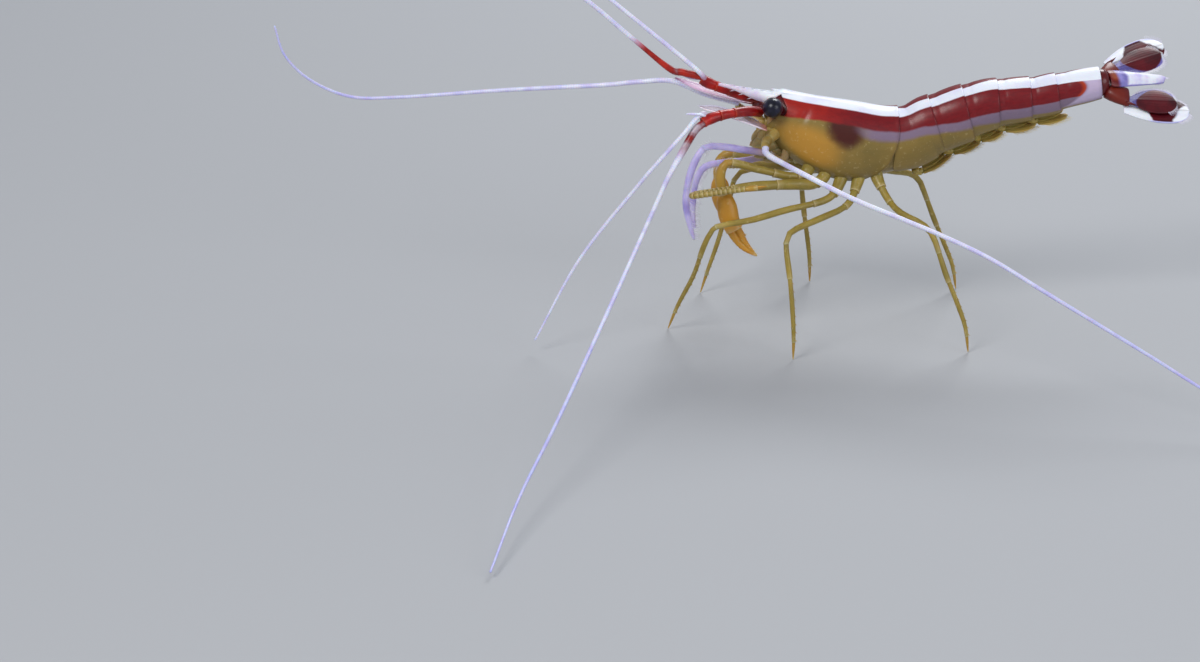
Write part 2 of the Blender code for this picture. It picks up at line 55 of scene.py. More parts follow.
CAMERA_LENS = 104.35
# Each lamp: its place in millimetres, its width, its power in watts and its colour.
LAMPS = {
    "lamp_key": ((-260, -330, 420), 260, 1.75, (1.0, 0.99, 0.97)),
    "lamp_fill": ((330, -300, 200), 320, 0.7, (0.93, 0.96, 1.0)),
    "lamp_back": ((120, 380, 330), 220, 1.2, (0.96, 0.98, 1.0)),
}
SKY = (0.74, 0.78, 0.86, 1.0)
SKY_STRENGTH = 0.42

bpy.context.scene.view_settings.view_transform = "Standard"
world = bpy.data.worlds.new("studio_air")
world.use_nodes = True
world.node_tree.nodes["Background"].inputs["Color"].default_value = SKY
world.node_tree.nodes["Background"].inputs["Strength"].default_value = SKY_STRENGTH
bpy.context.scene.world = world

for lamp_name, (lamp_place, lamp_width, watts, lamp_colour) in LAMPS.items():
    lamp = bpy.data.lights.new(lamp_name, "AREA")
    lamp.shape = "DISK"
    lamp.size = lamp_width * MM
    lamp.energy = watts
    lamp.color = lamp_colour
    holder = bpy.data.objects.new(lamp_name, lamp)
    holder.location = Vector(lamp_place) * MM
    holder.rotation_euler = (-holder.location).to_track_quat("-Z", "Y").to_euler()
    bpy.context.collection.objects.link(holder)

lens = bpy.data.cameras.new("camera")
lens.lens = CAMERA_LENS
lens.sensor_width = 36.0
lens.clip_start = 0.01
camera = bpy.data.objects.new("camera", lens)
camera.location = Vector(CAMERA_PLACE) * MM
camera.rotation_euler = (math.radians(90 - CAMERA_DOWN), 0, 0)
bpy.context.collection.objects.link(camera)
bpy.context.scene.camera = camera

ground = bmesh.new()
bmesh.ops.create_grid(ground, x_segments=8, y_segments=8, size=2.0)
floor_mesh = bpy.data.meshes.new("floor")
ground.to_mesh(floor_mesh)
ground.free()
floor_paint = bpy.data.materials.new("pale_floor")
floor_paint.use_nodes = True
floor_shader = floor_paint.node_tree.nodes["Principled BSDF"]
floor_shader.inputs["Base Color"].default_value = FLOOR_COLOUR
floor_shader.inputs["Roughness"].default_value = 0.75
floor_mesh.materials.append(floor_paint)
floor = bpy.data.objects.new("floor", floor_mesh)
bpy.context.collection.objects.link(floor)


# ---- Flesh of the trunk ----
# One soft body runs from the mouth to the tail fan under all the plates. It is a translucent
# ochre yellow, and shows between the plates, under the belly and at the face.
HINGE = Vector((17.2, 29.4, 0.0))
BACK_HEIGHT = [(-19.7, 29.3), (-12.3, 28.0), (-4.1, 26.8), (0.9, 26.2), (3.2, 27.1), (8.1, 28.65),
               (11.3, 29.3), (16.2, 29.6), (20.2, 30.25), (24.3, 30.8)]
TRUNK_DEPTH = [(-13.0, 5.2), (-11.6, 6.6), (-9.0, 8.1), (-5.6, 9.1), (-2.4, 9.1), (0.9, 7.6),
               (4.0, 6.6), (8.0, 6.0), (12.0, 5.3), (16.0, 4.6), (20.0, 4.0), (24.3, 3.3)]
TRUNK_BREADTH = [(-13.0, 3.9), (-11.6, 5.3), (-9.0, 6.8), (-5.6, 7.4), (-2.4, 7.4), (0.9, 6.8),
                 (4.0, 6.4), (8.0, 6.1), (12.0, 5.4), (16.0, 4.7), (20.0, 4.2), (24.3, 3.4)]
LEAN = [(-13.0, 9.0), (-5.0, 10.0), (1.0, 18.0), (5.0, 24.0), (12.0, 24.0), (24.3, 26.0)]
BELLY_FULLNESS = 2.8
FLESH_DEPTH = 0.32
FLESH_ENDS = (-12.6, 24.2)
FLESH_RINGS = 72
FLESH_SIDES = 48
FLESH_CAPS = 3
BELLY_FOLD = {"depth": 0.10, "step": 1.9}
GOLD_PLACE = (-8.6, 92.0)


def at(point):
    """A place in millimetres from the hinge, as metres from the origin."""
    return (Vector(point) + HINGE) * MM


def read(table, x):
    """The value at x on a smooth curve through the table's (x, value) pairs."""
    xs = [pair[0] for pair in table]
    values = [pair[1] for pair in table]
    slopes = []
    for i in range(len(xs)):
        a, b = max(i - 1, 0), min(i + 1, len(xs) - 1)
        slopes.append((values[b] - values[a]) / (xs[b] - xs[a]))
    x = min(max(x, xs[0]), xs[-1])
    i = min(sum(x >= start for start in xs[1:]), len(xs) - 2)
    span = xs[i + 1] - xs[i]
    t = (x - xs[i]) / span
    rise = values[i] * (1 - t) ** 2 * (1 + 2 * t) + values[i + 1] * t * t * (3 - 2 * t)
    return rise + span * (slopes[i] * t * (1 - t) ** 2 - slopes[i + 1] * t * t * (1 - t))


def ease(low, high, x):
    """Rises smoothly from 0 at low to 1 at high."""
    t = min(max((x - low) / (high - low), 0), 1)
    return t * t * (3 - 2 * t)


def hump(x, middle, width):
    """A smooth hump of height 1 at the middle."""
    return math.exp(-((x - middle) / width) ** 2)


def trunk_frame(x):
    """Centre, tail-ward, left-hand and back-ward directions of the trunk's section at x."""
    step = 0.05
    rise = (read(BACK_HEIGHT, x + step) - read(BACK_HEIGHT, x - step)) / (2 * step)
    along = Vector((1, 0, rise)).normalized()
    up = Vector((-along.z, 0, along.x))
    centre = Vector((x, 0, read(BACK_HEIGHT, x))) - up * read(TRUNK_DEPTH, x) / 2
    lean = Matrix.Rotation(math.radians(read(LEAN, x)), 3, along)
    return centre, along, lean @ Vector((0, -1, 0)), lean @ up


def skin(x, angle, lift=0.0, section=None):
    """The trunk's surface at x, angle degrees round from the back to the left side."""
    centre, along, left, up = section or trunk_frame(x)
    side, rise = math.sin(math.radians(angle)), math.cos(math.radians(angle))
    if rise < 0:
        power = 2 / BELLY_FULLNESS
        side, rise = math.copysign(abs(side) ** power, side), -abs(rise) ** power
    half_breadth = read(TRUNK_BREADTH, x) / 2 + lift
    half_depth = read(TRUNK_DEPTH, x) / 2 + lift
    return centre + left * side * half_breadth + up * rise * half_depth


def colour(red, green, blue):
    """A colour of 0 to 255 steps, as linear light."""
    steps = [value / 255 for value in (red, green, blue)]
    return (*[s / 12.92 if s < 0.04045 else ((s + 0.055) / 1.055) ** 2.4 for s in steps], 1.0)


class Value:
    """A shader socket. Arithmetic on it adds Math nodes."""

    def __init__(self, tree, socket=None):
        self.tree = tree
        self.socket = socket

    def node(self, kind, settings, inputs, output=0):
        """Adds a node: its settings first, then its sockets."""
        made = self.tree.nodes.new(kind)
        for key, value in settings.items():
            if key == "stops":
                ramp = made.color_ramp
                while len(ramp.elements) < len(value):
                    ramp.elements.new(1.0)
                for element, (position, shade) in zip(ramp.elements, value):
                    element.position = position
                    element.color = (shade, shade, shade, 1.0)
            else:
                setattr(made, key, value)
        for key, value in inputs.items():
            if isinstance(value, Value):
                self.tree.links.new(value.socket, made.inputs[key])
            else:
                made.inputs[key].default_value = value
        return Value(self.tree, made.outputs[output])

    def math(self, operation, *inputs):
        return self.node("ShaderNodeMath", {"operation": operation}, dict(enumerate(inputs)))

    def __add__(self, other):
        return self.math("ADD", self, other)

    def __sub__(self, other):
        return self.math("SUBTRACT", self, other)

    def __mul__(self, other):
        return self.math("MULTIPLY", self, other)

    def __truediv__(self, other):
        return self.math("DIVIDE", self, other)

    def __pow__(self, other):
        return self.math("POWER", self, other)

    def __rsub__(self, other):
        return self.math("SUBTRACT", other, self)

    __radd__ = __add__
    __rmul__ = __mul__

    def rise(self, low, high):
        """0 below low, 1 above high, smooth between."""
        return self.node("ShaderNodeMapRange", {"interpolation_type": "SMOOTHSTEP"},
                         {"Value": self, "From Min": low, "From Max": high})

    def along(self, pairs):
        """What (value, result) pairs give for this value."""
        start, stop = pairs[0][0], pairs[-1][0]
        least = min(pair[1] for pair in pairs)
        most = max(pair[1] for pair in pairs) - least or 1.0
        stops = [((x - start) / (stop - start), (y - least) / most) for x, y in pairs]
        share = self.node("ShaderNodeMapRange", {}, {"Value": self, "From Min": start,
                                                     "From Max": stop})
        return self.node("ShaderNodeValToRGB", {"stops": stops}, {"Fac": share}) * most + least

    def blend(self, first, second):
        """The first colour where this is 0, the second where it is 1."""
        return self.node("ShaderNodeMix", {"data_type": "RGBA"}, {0: self, 6: first, 7: second}, 2)


def wet(name, roughness=0.28, glow=0.15, coat=0.35):
    """A new wet, softly translucent paint: the material, its shader and a first value."""
    paint = bpy.data.materials.new(name)
    paint.use_nodes = True
    shader = paint.node_tree.nodes["Principled BSDF"]
    shader.inputs["Roughness"].default_value = roughness
    shader.inputs["Metallic"].default_value = 0.0
    shader.inputs["Specular IOR Level"].default_value = 0.3
    shader.inputs["Subsurface Weight"].default_value = glow
    shader.inputs["Subsurface Radius"].default_value = (1.0, 0.5, 0.3)
    shader.inputs["Subsurface Scale"].default_value = 0.0006
    shader.inputs["Coat Weight"].default_value = coat
    shader.inputs["Coat Roughness"].default_value = 0.22
    return paint, shader, Value(paint.node_tree)


def connect(value, shader, name):
    """Feeds the shader's socket of that name from a value."""
    value.tree.links.new(value.socket, shader.inputs[name])


def place_of(start):
    """The three numbers a piece carries at each point, as values."""
    held = start.node("ShaderNodeAttribute", {"attribute_name": "place"}, {}, 1)
    return [start.node("ShaderNodeSeparateXYZ", {}, {0: held}, i) for i in range(3)]


def speckle(start, scale, detail=3.0):
    """Soft noise on the piece's own coordinates, scale spots to the metre."""
    where = start.node("ShaderNodeTexCoord", {}, {}, 3)
    return start.node("ShaderNodeTexNoise", {}, {"Vector": where, "Scale": scale,
                                                 "Detail": detail})


def relief(height, shader, distance, strength=0.6):
    """Bumps the shader's surface by a height of 0 to 1, distance in millimetres."""
    bump = height.node("ShaderNodeBump", {}, {"Height": height, "Distance": distance * MM,
                                              "Strength": strength})
    connect(bump, shader, "Normal")


def lay_on(shader, tone, height, distance, strength=0.6):
    """Gives a shader its colour and its relief."""
    connect(tone, shader, "Base Color")
    relief(height, shader, distance, strength)


def mottle(start, scale, dark, light, low=0.3, high=0.7, detail=3.0):
    """Soft light spots on a darker colour: the spots' value, then the colour."""
    cloud = speckle(start, scale, detail)
    return cloud, cloud.rise(low, high).blend(dark, light)


def tube(shape, stations, sides=12):
    """A closed tube through (matrix, mark) stations. The first and last have no width."""
    layers = shape.verts.layers.float_vector
    place = layers.get("place") or layers.new("place")
    last = len(stations) - 1
    made = bmesh.ops.create_grid(shape, x_segments=last, y_segments=sides, size=1.0)["verts"]
    for vertex in made:
        matrix, mark = stations[round((vertex.co.x + 1) / 2 * last)]
        turn = math.pi * vertex.co.y
        vertex.co = at(matrix @ Vector((math.cos(turn), math.sin(turn), 0)))
        vertex[place] = mark
    bmesh.ops.remove_doubles(shape, verts=made, dist=1e-8)


def oval(side_arm, up_arm, along, centre):
    """A matrix that carries the unit circle to an oval with these half-axes."""
    rows = [(side_arm[i], up_arm[i], along[i], centre[i]) for i in range(3)]
    return Matrix((*rows, (0, 0, 0, 1)))


def finish_piece(name, shape, paint, nodes=(), levels=0, wall=0.0):
    """Makes a piece from its bmesh and fixes it to the figure in place of the nodes."""
    bmesh.ops.recalc_face_normals(shape, faces=shape.faces)
    mesh = bpy.data.meshes.new(name)
    shape.to_mesh(mesh)
    shape.free()
    mesh.shade_smooth()
    mesh.materials.append(paint)
    thing = bpy.data.objects.new(name, mesh)
    bpy.context.collection.objects.link(thing)
    if wall:
        shell = thing.modifiers.new("wall", "SOLIDIFY")
        shell.thickness = wall * MM
        shell.offset = -1.0
    if levels:
        rounding = thing.modifiers.new("rounding", "SUBSURF")
        rounding.levels = levels
        rounding.render_levels = levels
    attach(thing, "root")
    if nodes:
        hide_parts(*nodes)


flesh_stations = []
for i in range(FLESH_RINGS + 1):
    x = FLESH_ENDS[0] + (FLESH_ENDS[1] - FLESH_ENDS[0]) * i / FLESH_RINGS
    fold = BELLY_FOLD["depth"] * math.cos(2 * math.pi * x / BELLY_FOLD["step"]) * ease(1, 3, x)
    flesh_stations.append((x, trunk_frame(x), FLESH_DEPTH + fold))
flesh = bmesh.new()
flesh_place = flesh.verts.layers.float_vector.new("place")
flesh_steps = FLESH_RINGS + 2 * FLESH_CAPS
made = bmesh.ops.create_grid(flesh, x_segments=flesh_steps, y_segments=FLESH_SIDES,
                             size=1.0)["verts"]
# A few rings before and after the trunk round off its two ends.
for vertex in made:
    ring = round((vertex.co.x + 1) / 2 * flesh_steps) - FLESH_CAPS
    angle = -180 * vertex.co.y
    x, section, sink = flesh_stations[min(max(ring, 0), FLESH_RINGS)]
    spot = skin(x, angle, -sink, section)
    over = max(-ring, ring - FLESH_RINGS, 0)
    if over:
        shrink = (1.0, 0.86, 0.55, 0.0)[over]
        reach = (0.0, 0.45, 0.8, 0.95)[over] * (-1 if ring < 0 else 0.6)
        spot = section[0] + (spot - section[0]) * shrink + section[1] * reach
    vertex.co = at(spot)
    vertex[flesh_place] = (x, abs(angle), 0.0)
bmesh.ops.remove_doubles(flesh, verts=made, dist=1e-8)

flesh_paint, flesh_shader, start = wet("ochre_flesh", 0.32, 0.3)
x, side_angle, _ = place_of(start)
cloud = speckle(start, 420)
fibre = speckle(start, 1500, 2.0)
gold = 1 - ((x - GOLD_PLACE[0]) * (x - GOLD_PLACE[0])).rise(4.0, 60.0)
tone = (gold * 0.7 + cloud * 0.5).blend(colour(118, 104, 52), colour(184, 138, 52))
tone = (fibre.rise(0.55, 0.8) * 0.35).blend(tone, colour(206, 176, 108))
face = (1 - x.rise(-11.7, -10.9)) * (1 - side_angle.rise(80, 104))
tone = (face + x.rise(22.6, 23.2)).blend(tone, colour(92, 12, 18))
lay_on(flesh_shader, tone, fibre, 0.05)
finish_piece("flesh", flesh, flesh_paint)


# ---- Shell of head and chest, and the six rings of the tail ----
# Thin wet plates. Each overlaps the next like roof tiles, and each tail ring hangs a rounded
# flap down either side. A white stripe with a red band on both sides runs down the whole back;
# below it the plates are clear, so they look lilac and then ochre yellow.
SHELL_WALL = 0.14
CARAPACE_TURN = 146.0
CARAPACE_FRONT = [(0, -12.5), (14, -12.5), (30, -12.25), (50, -11.75), (66, -11.9), (74, -12.5),
                  (80, -13.0), (86, -12.75), (100, -13.3), (118, -13.75), (136, -13.3), (150, -12.3)]
CARAPACE_REAR = [(0, 0.85), (60, 0.8), (100, 0.2), (125, -0.9), (150, -2.2)]
CARAPACE_LOWER = [(-13.5, 142.0), (-11.0, 146.0), (-7.0, 150.0), (-2.0, 150.0), (0.9, 140.0)]
CARAPACE_GRID = (84, 96)
RING_GRID = (22, 72)
# How far round a ring reaches in degrees, and how much further its flap hangs.
RING_REACH = (116, 27)
LAST_RING_REACH = (150, 6)
TAIL_EDGES = [0.9, 4.0, 7.8, 11.8, 15.5, 18.4, 23.7]
PLATE_OVERLAP = 0.28
STRIPE_HALF = [(-13.0, 24.0), (-8.0, 21.0), (-2.0, 20.0), (0.6, 17.0), (1.6, 12.0), (8.0, 12.5),
               (12.0, 17.0), (16.0, 22.0), (20.0, 26.0), (22.5, 34.0), (24.3, 40.0)]
STRIPE_MIDDLE = [(-13.0, 0.0), (0.4, 0.0), (1.8, 6.0), (6.0, 5.0), (12.0, 1.0), (24.3, 0.0)]
RED_LOWER = [(-13.0, 76.0), (-12.0, 68.0), (-10.2, 57.0), (-8.0, 50.0), (-5.4, 48.0), (-0.2, 48.0),
             (2.0, 51.0), (6.8, 68.0), (12.0, 77.0), (17.6, 78.0), (21.6, 84.0), (24.3, 88.0)]
LILAC_LOWER = [(-13.0, 74.0), (-6.0, 50.0), (-3.5, 58.0), (-1.8, 64.0), (1.8, 67.0), (6.6, 88.0),
               (12.6, 104.0), (17.4, 108.0), (22.2, 114.0), (24.3, 120.0)]
RED_END = 22.0
DARK_SPOT = (-4.9, 57.0)


def shell_paint():
    """The stripe, bands and clear flanks, read off the distance along and round the trunk."""
    paint, shader, start = wet("painted_shell", 0.34, 0.1, 0.22)
    x, round_angle, edge = place_of(start)
    angle = round_angle.math("ABSOLUTE", round_angle)
    waver = speckle(start, 520) - 0.5
    streak_place = start.node("ShaderNodeCombineXYZ", {}, {0: x * 0.35, 1: angle * 0.055, 2: 0.0})
    streak = start.node("ShaderNodeTexNoise", {}, {"Vector": streak_place, "Scale": 3.2,
                                                   "Detail": 3.0})
    grain = speckle(start, 2600, 2.0)
    cloud = speckle(start, 330)

    ochre = (cloud * 0.9 + streak * 0.3 - 0.1).blend(colour(112, 98, 50), colour(158, 128, 62))
    away = ((x - GOLD_PLACE[0]) / 4.4) ** 2 + ((angle - GOLD_PLACE[1]) / 34) ** 2
    ochre = ((1 - away.rise(0.0, 1.1)) * 0.75).blend(ochre, colour(204, 146, 50))
    low = angle.rise(118, 150)
    ochre = (low * 0.5).blend(ochre, colour(120, 110, 60))
    ochre = (grain.rise(0.6, 0.75) * 0.22).blend(ochre, colour(224, 204, 150))

    spot = ((x - DARK_SPOT[0]) / 2.6) ** 2 + ((angle - DARK_SPOT[1]) / 31) ** 2
    flank = ((1 - (spot + waver * 0.7).rise(0.2, 1.15)) * 0.96).blend(ochre, colour(70, 12, 14))

    lilac_edge = angle + waver * 7 - x.along(LILAC_LOWER)
    lilac = (1 - lilac_edge.rise(-5, 4)) * x.rise(-4.5, -1.5) * 0.85
    flank = lilac.blend(flank, colour(132, 112, 142))

    red = (streak * 1.1 + cloud * 0.2 - 0.15).blend(colour(96, 6, 18), colour(134, 12, 20))
    bright = (1 - x.rise(-9.5, -3.5)) * (0.35 + streak * 0.9)
    red = bright.blend(red, colour(168, 28, 14))
    red_edge = angle + waver * 5 - x.along(RED_LOWER)
    end = x + ((angle - 52) / 38) ** 2 * 1.3
    red_mask = (1 - red_edge.rise(-2.5, 2.5)) * (1 - end.rise(RED_END - 0.25, RED_END + 0.1))
    tail_band = end.rise(RED_END - 0.4, RED_END + 0.4) * (1 - angle.rise(92, 125))
    flank = (tail_band * 0.85).blend(flank, colour(204, 186, 216))
    rim = end.rise(RED_END - 0.8, RED_END - 0.15)
    red = (rim * 0.8).blend(red, colour(190, 62, 18))
    tone = red_mask.blend(flank, red)

    off_middle = round_angle - x.along(STRIPE_MIDDLE)
    stripe_edge = off_middle.math("ABSOLUTE", off_middle) + waver * 2.4 - x.along(STRIPE_HALF)
    stripe = 1 - stripe_edge.rise(-1.6, 1.6)
    white = (cloud.rise(0.4, 0.75) * 0.5).blend(colour(240, 243, 253), colour(208, 202, 240))
    tone = stripe.blend(tone, white)
    tone = (edge * (1 - stripe) * 0.3).blend(tone, colour(60, 16, 26))
    connect(tone, shader, "Base Color")
    connect(0.34 + stripe * 0.08 + grain * 0.1, shader, "Roughness")
    relief(grain + streak * 0.6, shader, 0.03)
    return paint


def plate(columns, rows, lay):
    """A thin shell laid out by lay(share along, share round from left to right)."""
    shape = bmesh.new()
    place = shape.verts.layers.float_vector.new("place")
    made = bmesh.ops.create_grid(shape, x_segments=columns, y_segments=rows, size=1.0)["verts"]
    for vertex in made:
        spot, mark = lay((vertex.co.x + 1) / 2, -vertex.co.y)
        vertex.co = at(spot)
        vertex[place] = mark
    return shape


def lay_carapace(share, turn):
    """The shield wraps the trunk. Its front edge has the eye's notch and a spine below it."""
    front = read(CARAPACE_FRONT, abs(turn) * CARAPACE_TURN)
    rear = read(CARAPACE_REAR, abs(turn) * CARAPACE_TURN)
    x = front + (rear - front) * share
    angle = turn * read(CARAPACE_LOWER, x)
    size = abs(angle)
    groove = -0.14 * hump(x, -9.4 - 0.022 * (size - 40), 0.45) * ease(20, 45, size)
    groove *= 1 - ease(95, 120, size)
    swell = 0.10 * hump(x, -4.0, 3.5) * hump(size, 100, 30) - 0.05 * hump(size, 132, 6)
    lip = 0.05 * (ease(0.96, 1.0, share) + ease(0.95, 1.0, abs(turn)))
    keel = 0.10 * hump(angle, 0, 7) * (1 - ease(-8, 0, x))
    edge = max(ease(0.975, 1.0, share), ease(0.97, 1.0, abs(turn)), 1 - ease(0.0, 0.02, share))
    return skin(x, angle, groove + swell + lip + keel), (x, angle, edge)


shell = shell_paint()
carapace = plate(*CARAPACE_GRID, lay_carapace)
finish_piece("carapace_shell", carapace, shell, ["carapace"], 1, SHELL_WALL)

for number, (first, last) in enumerate(zip(TAIL_EDGES, TAIL_EDGES[1:]), start=1):
    tuck = 0.25 if number > 1 else 0.45
    lap = 0.0 if number == 6 else PLATE_OVERLAP

    def lay_plate(share, turn, first=first - tuck, last=last + lap, number=number):
        """A ring of the tail: tucked in at the front, proud at the rear, flaps at the sides."""
        x = first + (last - first) * share
        middle = 2 * share - 1
        lobe = math.sqrt(max(1 - abs(middle) ** 2.6, 0))
        reach, flap = RING_REACH if number < 6 else LAST_RING_REACH
        angle = turn * (reach + flap * lobe)
        size = abs(angle)
        lift = -0.16 + 0.21 * ease(0.0, 0.85, share)
        if number == 2:
            lift += 0.16 * ease(70, 110, size)
        if number == 1:
            lift -= 0.05 * ease(70, 110, size)
        lift += 0.10 * ease(0.75, 1.0, abs(turn)) * (number < 6)
        lift -= 0.05 * hump(share, 0.3, 0.06) * (1 - ease(60, 95, size))
        if number < 6:
            x += 0.35 * middle * ease(80, 130, size) * lobe
        edge = max(ease(0.93, 1.0, share), ease(0.94, 1.0, abs(turn)))
        return skin(x, angle, lift), (x, angle, edge)

    ring = plate(*RING_GRID, lay_plate)
    finish_piece(f"tail_ring_{number}", ring, shell, [f"abdomen_{number}"], 1,
                 SHELL_WALL)


# ---- Beak ----
# A narrow toothed blade between the eyes, one piece with the shield's midline. It is white like
# the stripe that runs on from it, a little pink toward its tip, with teeth that point forward.
BEAK_REAR = -8.6
BEAK_BASE = -13.2
BEAK_TIP = -19.7
BEAK_HALF = [(-19.7, 0.2), (-16.5, 0.38), (-14.6, 0.55), (-13.3, 0.82), (-12.2, 0.9), (-10.5, 0.7),
             (-8.6, 0.25)]
BEAK_STEPS = 180
BEAK_TOOTH_EVERY = 17
BEAK_LOWER_TEETH = (118, 134, 150)


def spike(shape, root, way, wide, mark=(0.0, 0.0, 0.0), sides=6):
    """A small sharp cone from root along way."""
    axis = way.normalized()
    arm = axis.orthogonal().normalized()
    other = axis.cross(arm)
    tube(shape, [(oval(arm * w, other * w, axis, root + way * s), mark)
                 for s, w in ((0.0, 0.0), (0.0, wide), (0.5, wide * 0.6), (1.0, 0.0))], sides)


beak = bmesh.new()
beak_stations = []
for i in range(BEAK_STEPS + 1):
    share = i / BEAK_STEPS
    x = BEAK_REAR + (BEAK_TIP - BEAK_REAR) * share
    free = ease(BEAK_BASE + 1.2, BEAK_BASE - 0.8, x)
    out = max((x - BEAK_BASE) / (BEAK_TIP - BEAK_BASE), 0.0)
    taper = 1 - 0.86 * out ** 1.1
    ridge = read(BACK_HEIGHT, x) - 0.4 * free + 0.02 + 0.09 * hump(x, -12.6, 1.3)
    bottom = ridge - 0.25 - (0.65 + 0.75 * hump(out, 0.32, 0.35)) * free * taper
    half = read(BEAK_HALF, x) * (1.0 if 0 < i < BEAK_STEPS else 0.0)
    middle = Vector((x, 0.0, (ridge + bottom) / 2))
    beak_stations.append((oval(Vector((0, half, 0)), Vector((0, 0, (ridge - bottom) / 2)),
                               Vector((-1, 0, 0)), middle), (x, free, out)))
    if i % BEAK_TOOTH_EVERY == 0 and 0.3 < share < 0.97:
        wide = 0.2 * taper + 0.05
        spike(beak, Vector((x + 0.25, 0.0, ridge - 0.2 * taper)),
              Vector((-0.95 - 0.3 * taper, 0.0, wide + 0.17 * taper)), wide, (x, free, out))
    if i in BEAK_LOWER_TEETH:
        spike(beak, Vector((x + 0.2, 0.0, bottom + 0.12)), Vector((-0.8, 0.0, -0.22)), 0.12,
              (x, free, out))
tube(beak, beak_stations, 20)

beak_paint, beak_shader, start = wet("beak_white", 0.36, 0.25, 0.15)
_, _, out = place_of(start)
cloud, tone = mottle(start, 700, colour(244, 247, 255), colour(222, 216, 246), 0.4, 0.75)
tone = (out.rise(0.25, 0.9) * cloud.rise(0.3, 0.6) * 0.6).blend(tone, colour(206, 146, 186))
lay_on(beak_shader, tone, cloud, 0.03)
finish_piece("beak", beak, beak_paint, ["rostrum"])


# ---- Eyes ----
# Round black compound eyes, finely faceted and wet, each set in a soft cup on a short stalk that
# comes out from under the beak.
SIDES = {"left": -1, "right": 1}
EYE_RADIUS = 1.12
EYE_PLACES = {"left": (-13.6, -3.2, 26.85), "right": (-14.6, 3.1, 25.8)}
# How far out along the stalk, and the half-width there. The last ones turn in round the eye.
EYE_CUP = [(0.0, 0.0), (0.0, 0.55), (0.25, 0.66), (0.6, 0.7), (0.95, 0.8), (1.25, 1.02),
           (1.6, 1.12), (1.95, 1.18), (2.1, 1.15), (2.05, 1.02), (1.9, 0.0)]

eye_paint, eye_shader, start = wet("eye_black", 0.3, 0.0, 0.25)
where = start.node("ShaderNodeTexCoord", {}, {}, 3)
cells = start.node("ShaderNodeTexVoronoi", {}, {"Vector": where, "Scale": 16000.0}, 0)
_, tone = mottle(start, 900, colour(9, 10, 22), colour(28, 27, 52), 0.35)
lay_on(eye_shader, tone, 1 - cells, 0.012, 0.4)

stalk_paint, stalk_shader, start = wet("eye_stalk", 0.3, 0.3)
_, dark, _ = place_of(start)
cloud, tone = mottle(start, 900, colour(112, 28, 30), colour(150, 78, 84), 0.4)
tone = dark.blend(tone, colour(46, 18, 34))
lay_on(stalk_shader, tone, cloud, 0.04)

for side, sign in SIDES.items():
    centre = Vector(EYE_PLACES[side])
    root = centre + Vector((0.1, -sign * 2.2, -0.35))
    axis = (centre - root).normalized()
    ball = bmesh.new()
    bmesh.ops.create_uvsphere(ball, u_segments=48, v_segments=32, radius=EYE_RADIUS * MM)
    bmesh.ops.translate(ball, verts=ball.verts, vec=at(centre))
    finish_piece(f"eyeball_{side}", ball, eye_paint, [f"eye_{side}"])

    stalk = bmesh.new()
    arm = axis.orthogonal().normalized()
    other = axis.cross(arm)
    stations = [(oval(arm * wide, other * wide, axis, root + axis * out),
                 (out, ease(1.5, 2.0, out), 0.0)) for out, wide in EYE_CUP]
    tube(stalk, stations, 28)
    finish_piece(f"eye_cup_{side}", stalk, stalk_paint, [f"eyestalk_{side}"])


# ---- Upper feelers ----
# Each red stem has three joints and carries an outer and an inner whip, made of hundreds of tiny
# rings. The outer whip starts thick and red and has a short white side branch; further out both
# whips are bluish white.
UPPER_STEMS = {
    "left": [(-14.9, -1.4, 25.8), (-15.9, -2.6, 26.3), (-17.2, -3.6, 26.5), (-19.4, -4.9, 26.5),
             (-21.0, -5.6, 26.2), (-21.6, -5.9, 25.9)],
    "right": [(-14.9, 1.3, 26.7), (-16.2, 1.3, 26.9), (-17.8, 1.4, 27.3), (-19.7, 1.5, 28.0),
              (-20.9, 1.6, 28.5), (-21.6, 1.7, 28.9)],
}
UPPER_OUTER = {
    "left": [(-21.3, -5.8, 26.0), (-22.4, -6.2, 25.2), (-23.2, -6.6, 24.0), (-24.0, -7.4, 22.8),
             (-25.7, -9.6, 20.3), (-27.2, -13.4, 18.1), (-32.2, -30.0, 12.3), (-37.5, -48.0, 6.6),
             (-41.3, -61.0, 3.2), (-43.9, -74.0, 0.7)],
    "right": [(-21.4, 1.8, 29.1), (-23.6, 2.2, 29.5), (-25.4, 2.5, 30.0), (-30.0, 3.6, 33.6),
              (-35.0, 5.0, 37.5), (-44.0, 7.6, 43.4), (-55.0, 10.5, 48.6), (-66.0, 13.0, 51.2),
              (-76.0, 15.0, 51.6)],
}
UPPER_INNER = {
    "left": [(-21.1, -5.5, 26.4), (-21.6, -5.5, 26.9), (-22.5, -6.1, 26.3), (-23.8, -6.9, 24.9),
             (-26.5, -7.4, 21.9), (-28.8, -7.7, 19.2), (-35.5, -8.5, 10.6), (-40.7, -10.6, 1.4)],
    "right": [(-21.2, 1.4, 28.9), (-21.8, 1.0, 29.8), (-24.0, 1.2, 31.7), (-32.0, 2.6, 38.0),
              (-40.5, 4.6, 44.4), (-49.0, 6.6, 50.6), (-56.5, 8.0, 57.0)],
}
SIDE_BRANCH = {
    "left": [(-21.0, -5.7, 26.4), (-21.7, -5.9, 26.8), (-22.6, -6.2, 27.0), (-23.6, -6.4, 27.1)],
    "right": [(-21.2, 1.9, 29.0), (-22.2, 2.2, 28.8), (-23.1, 2.4, 28.9), (-24.0, 2.6, 29.2)],
}
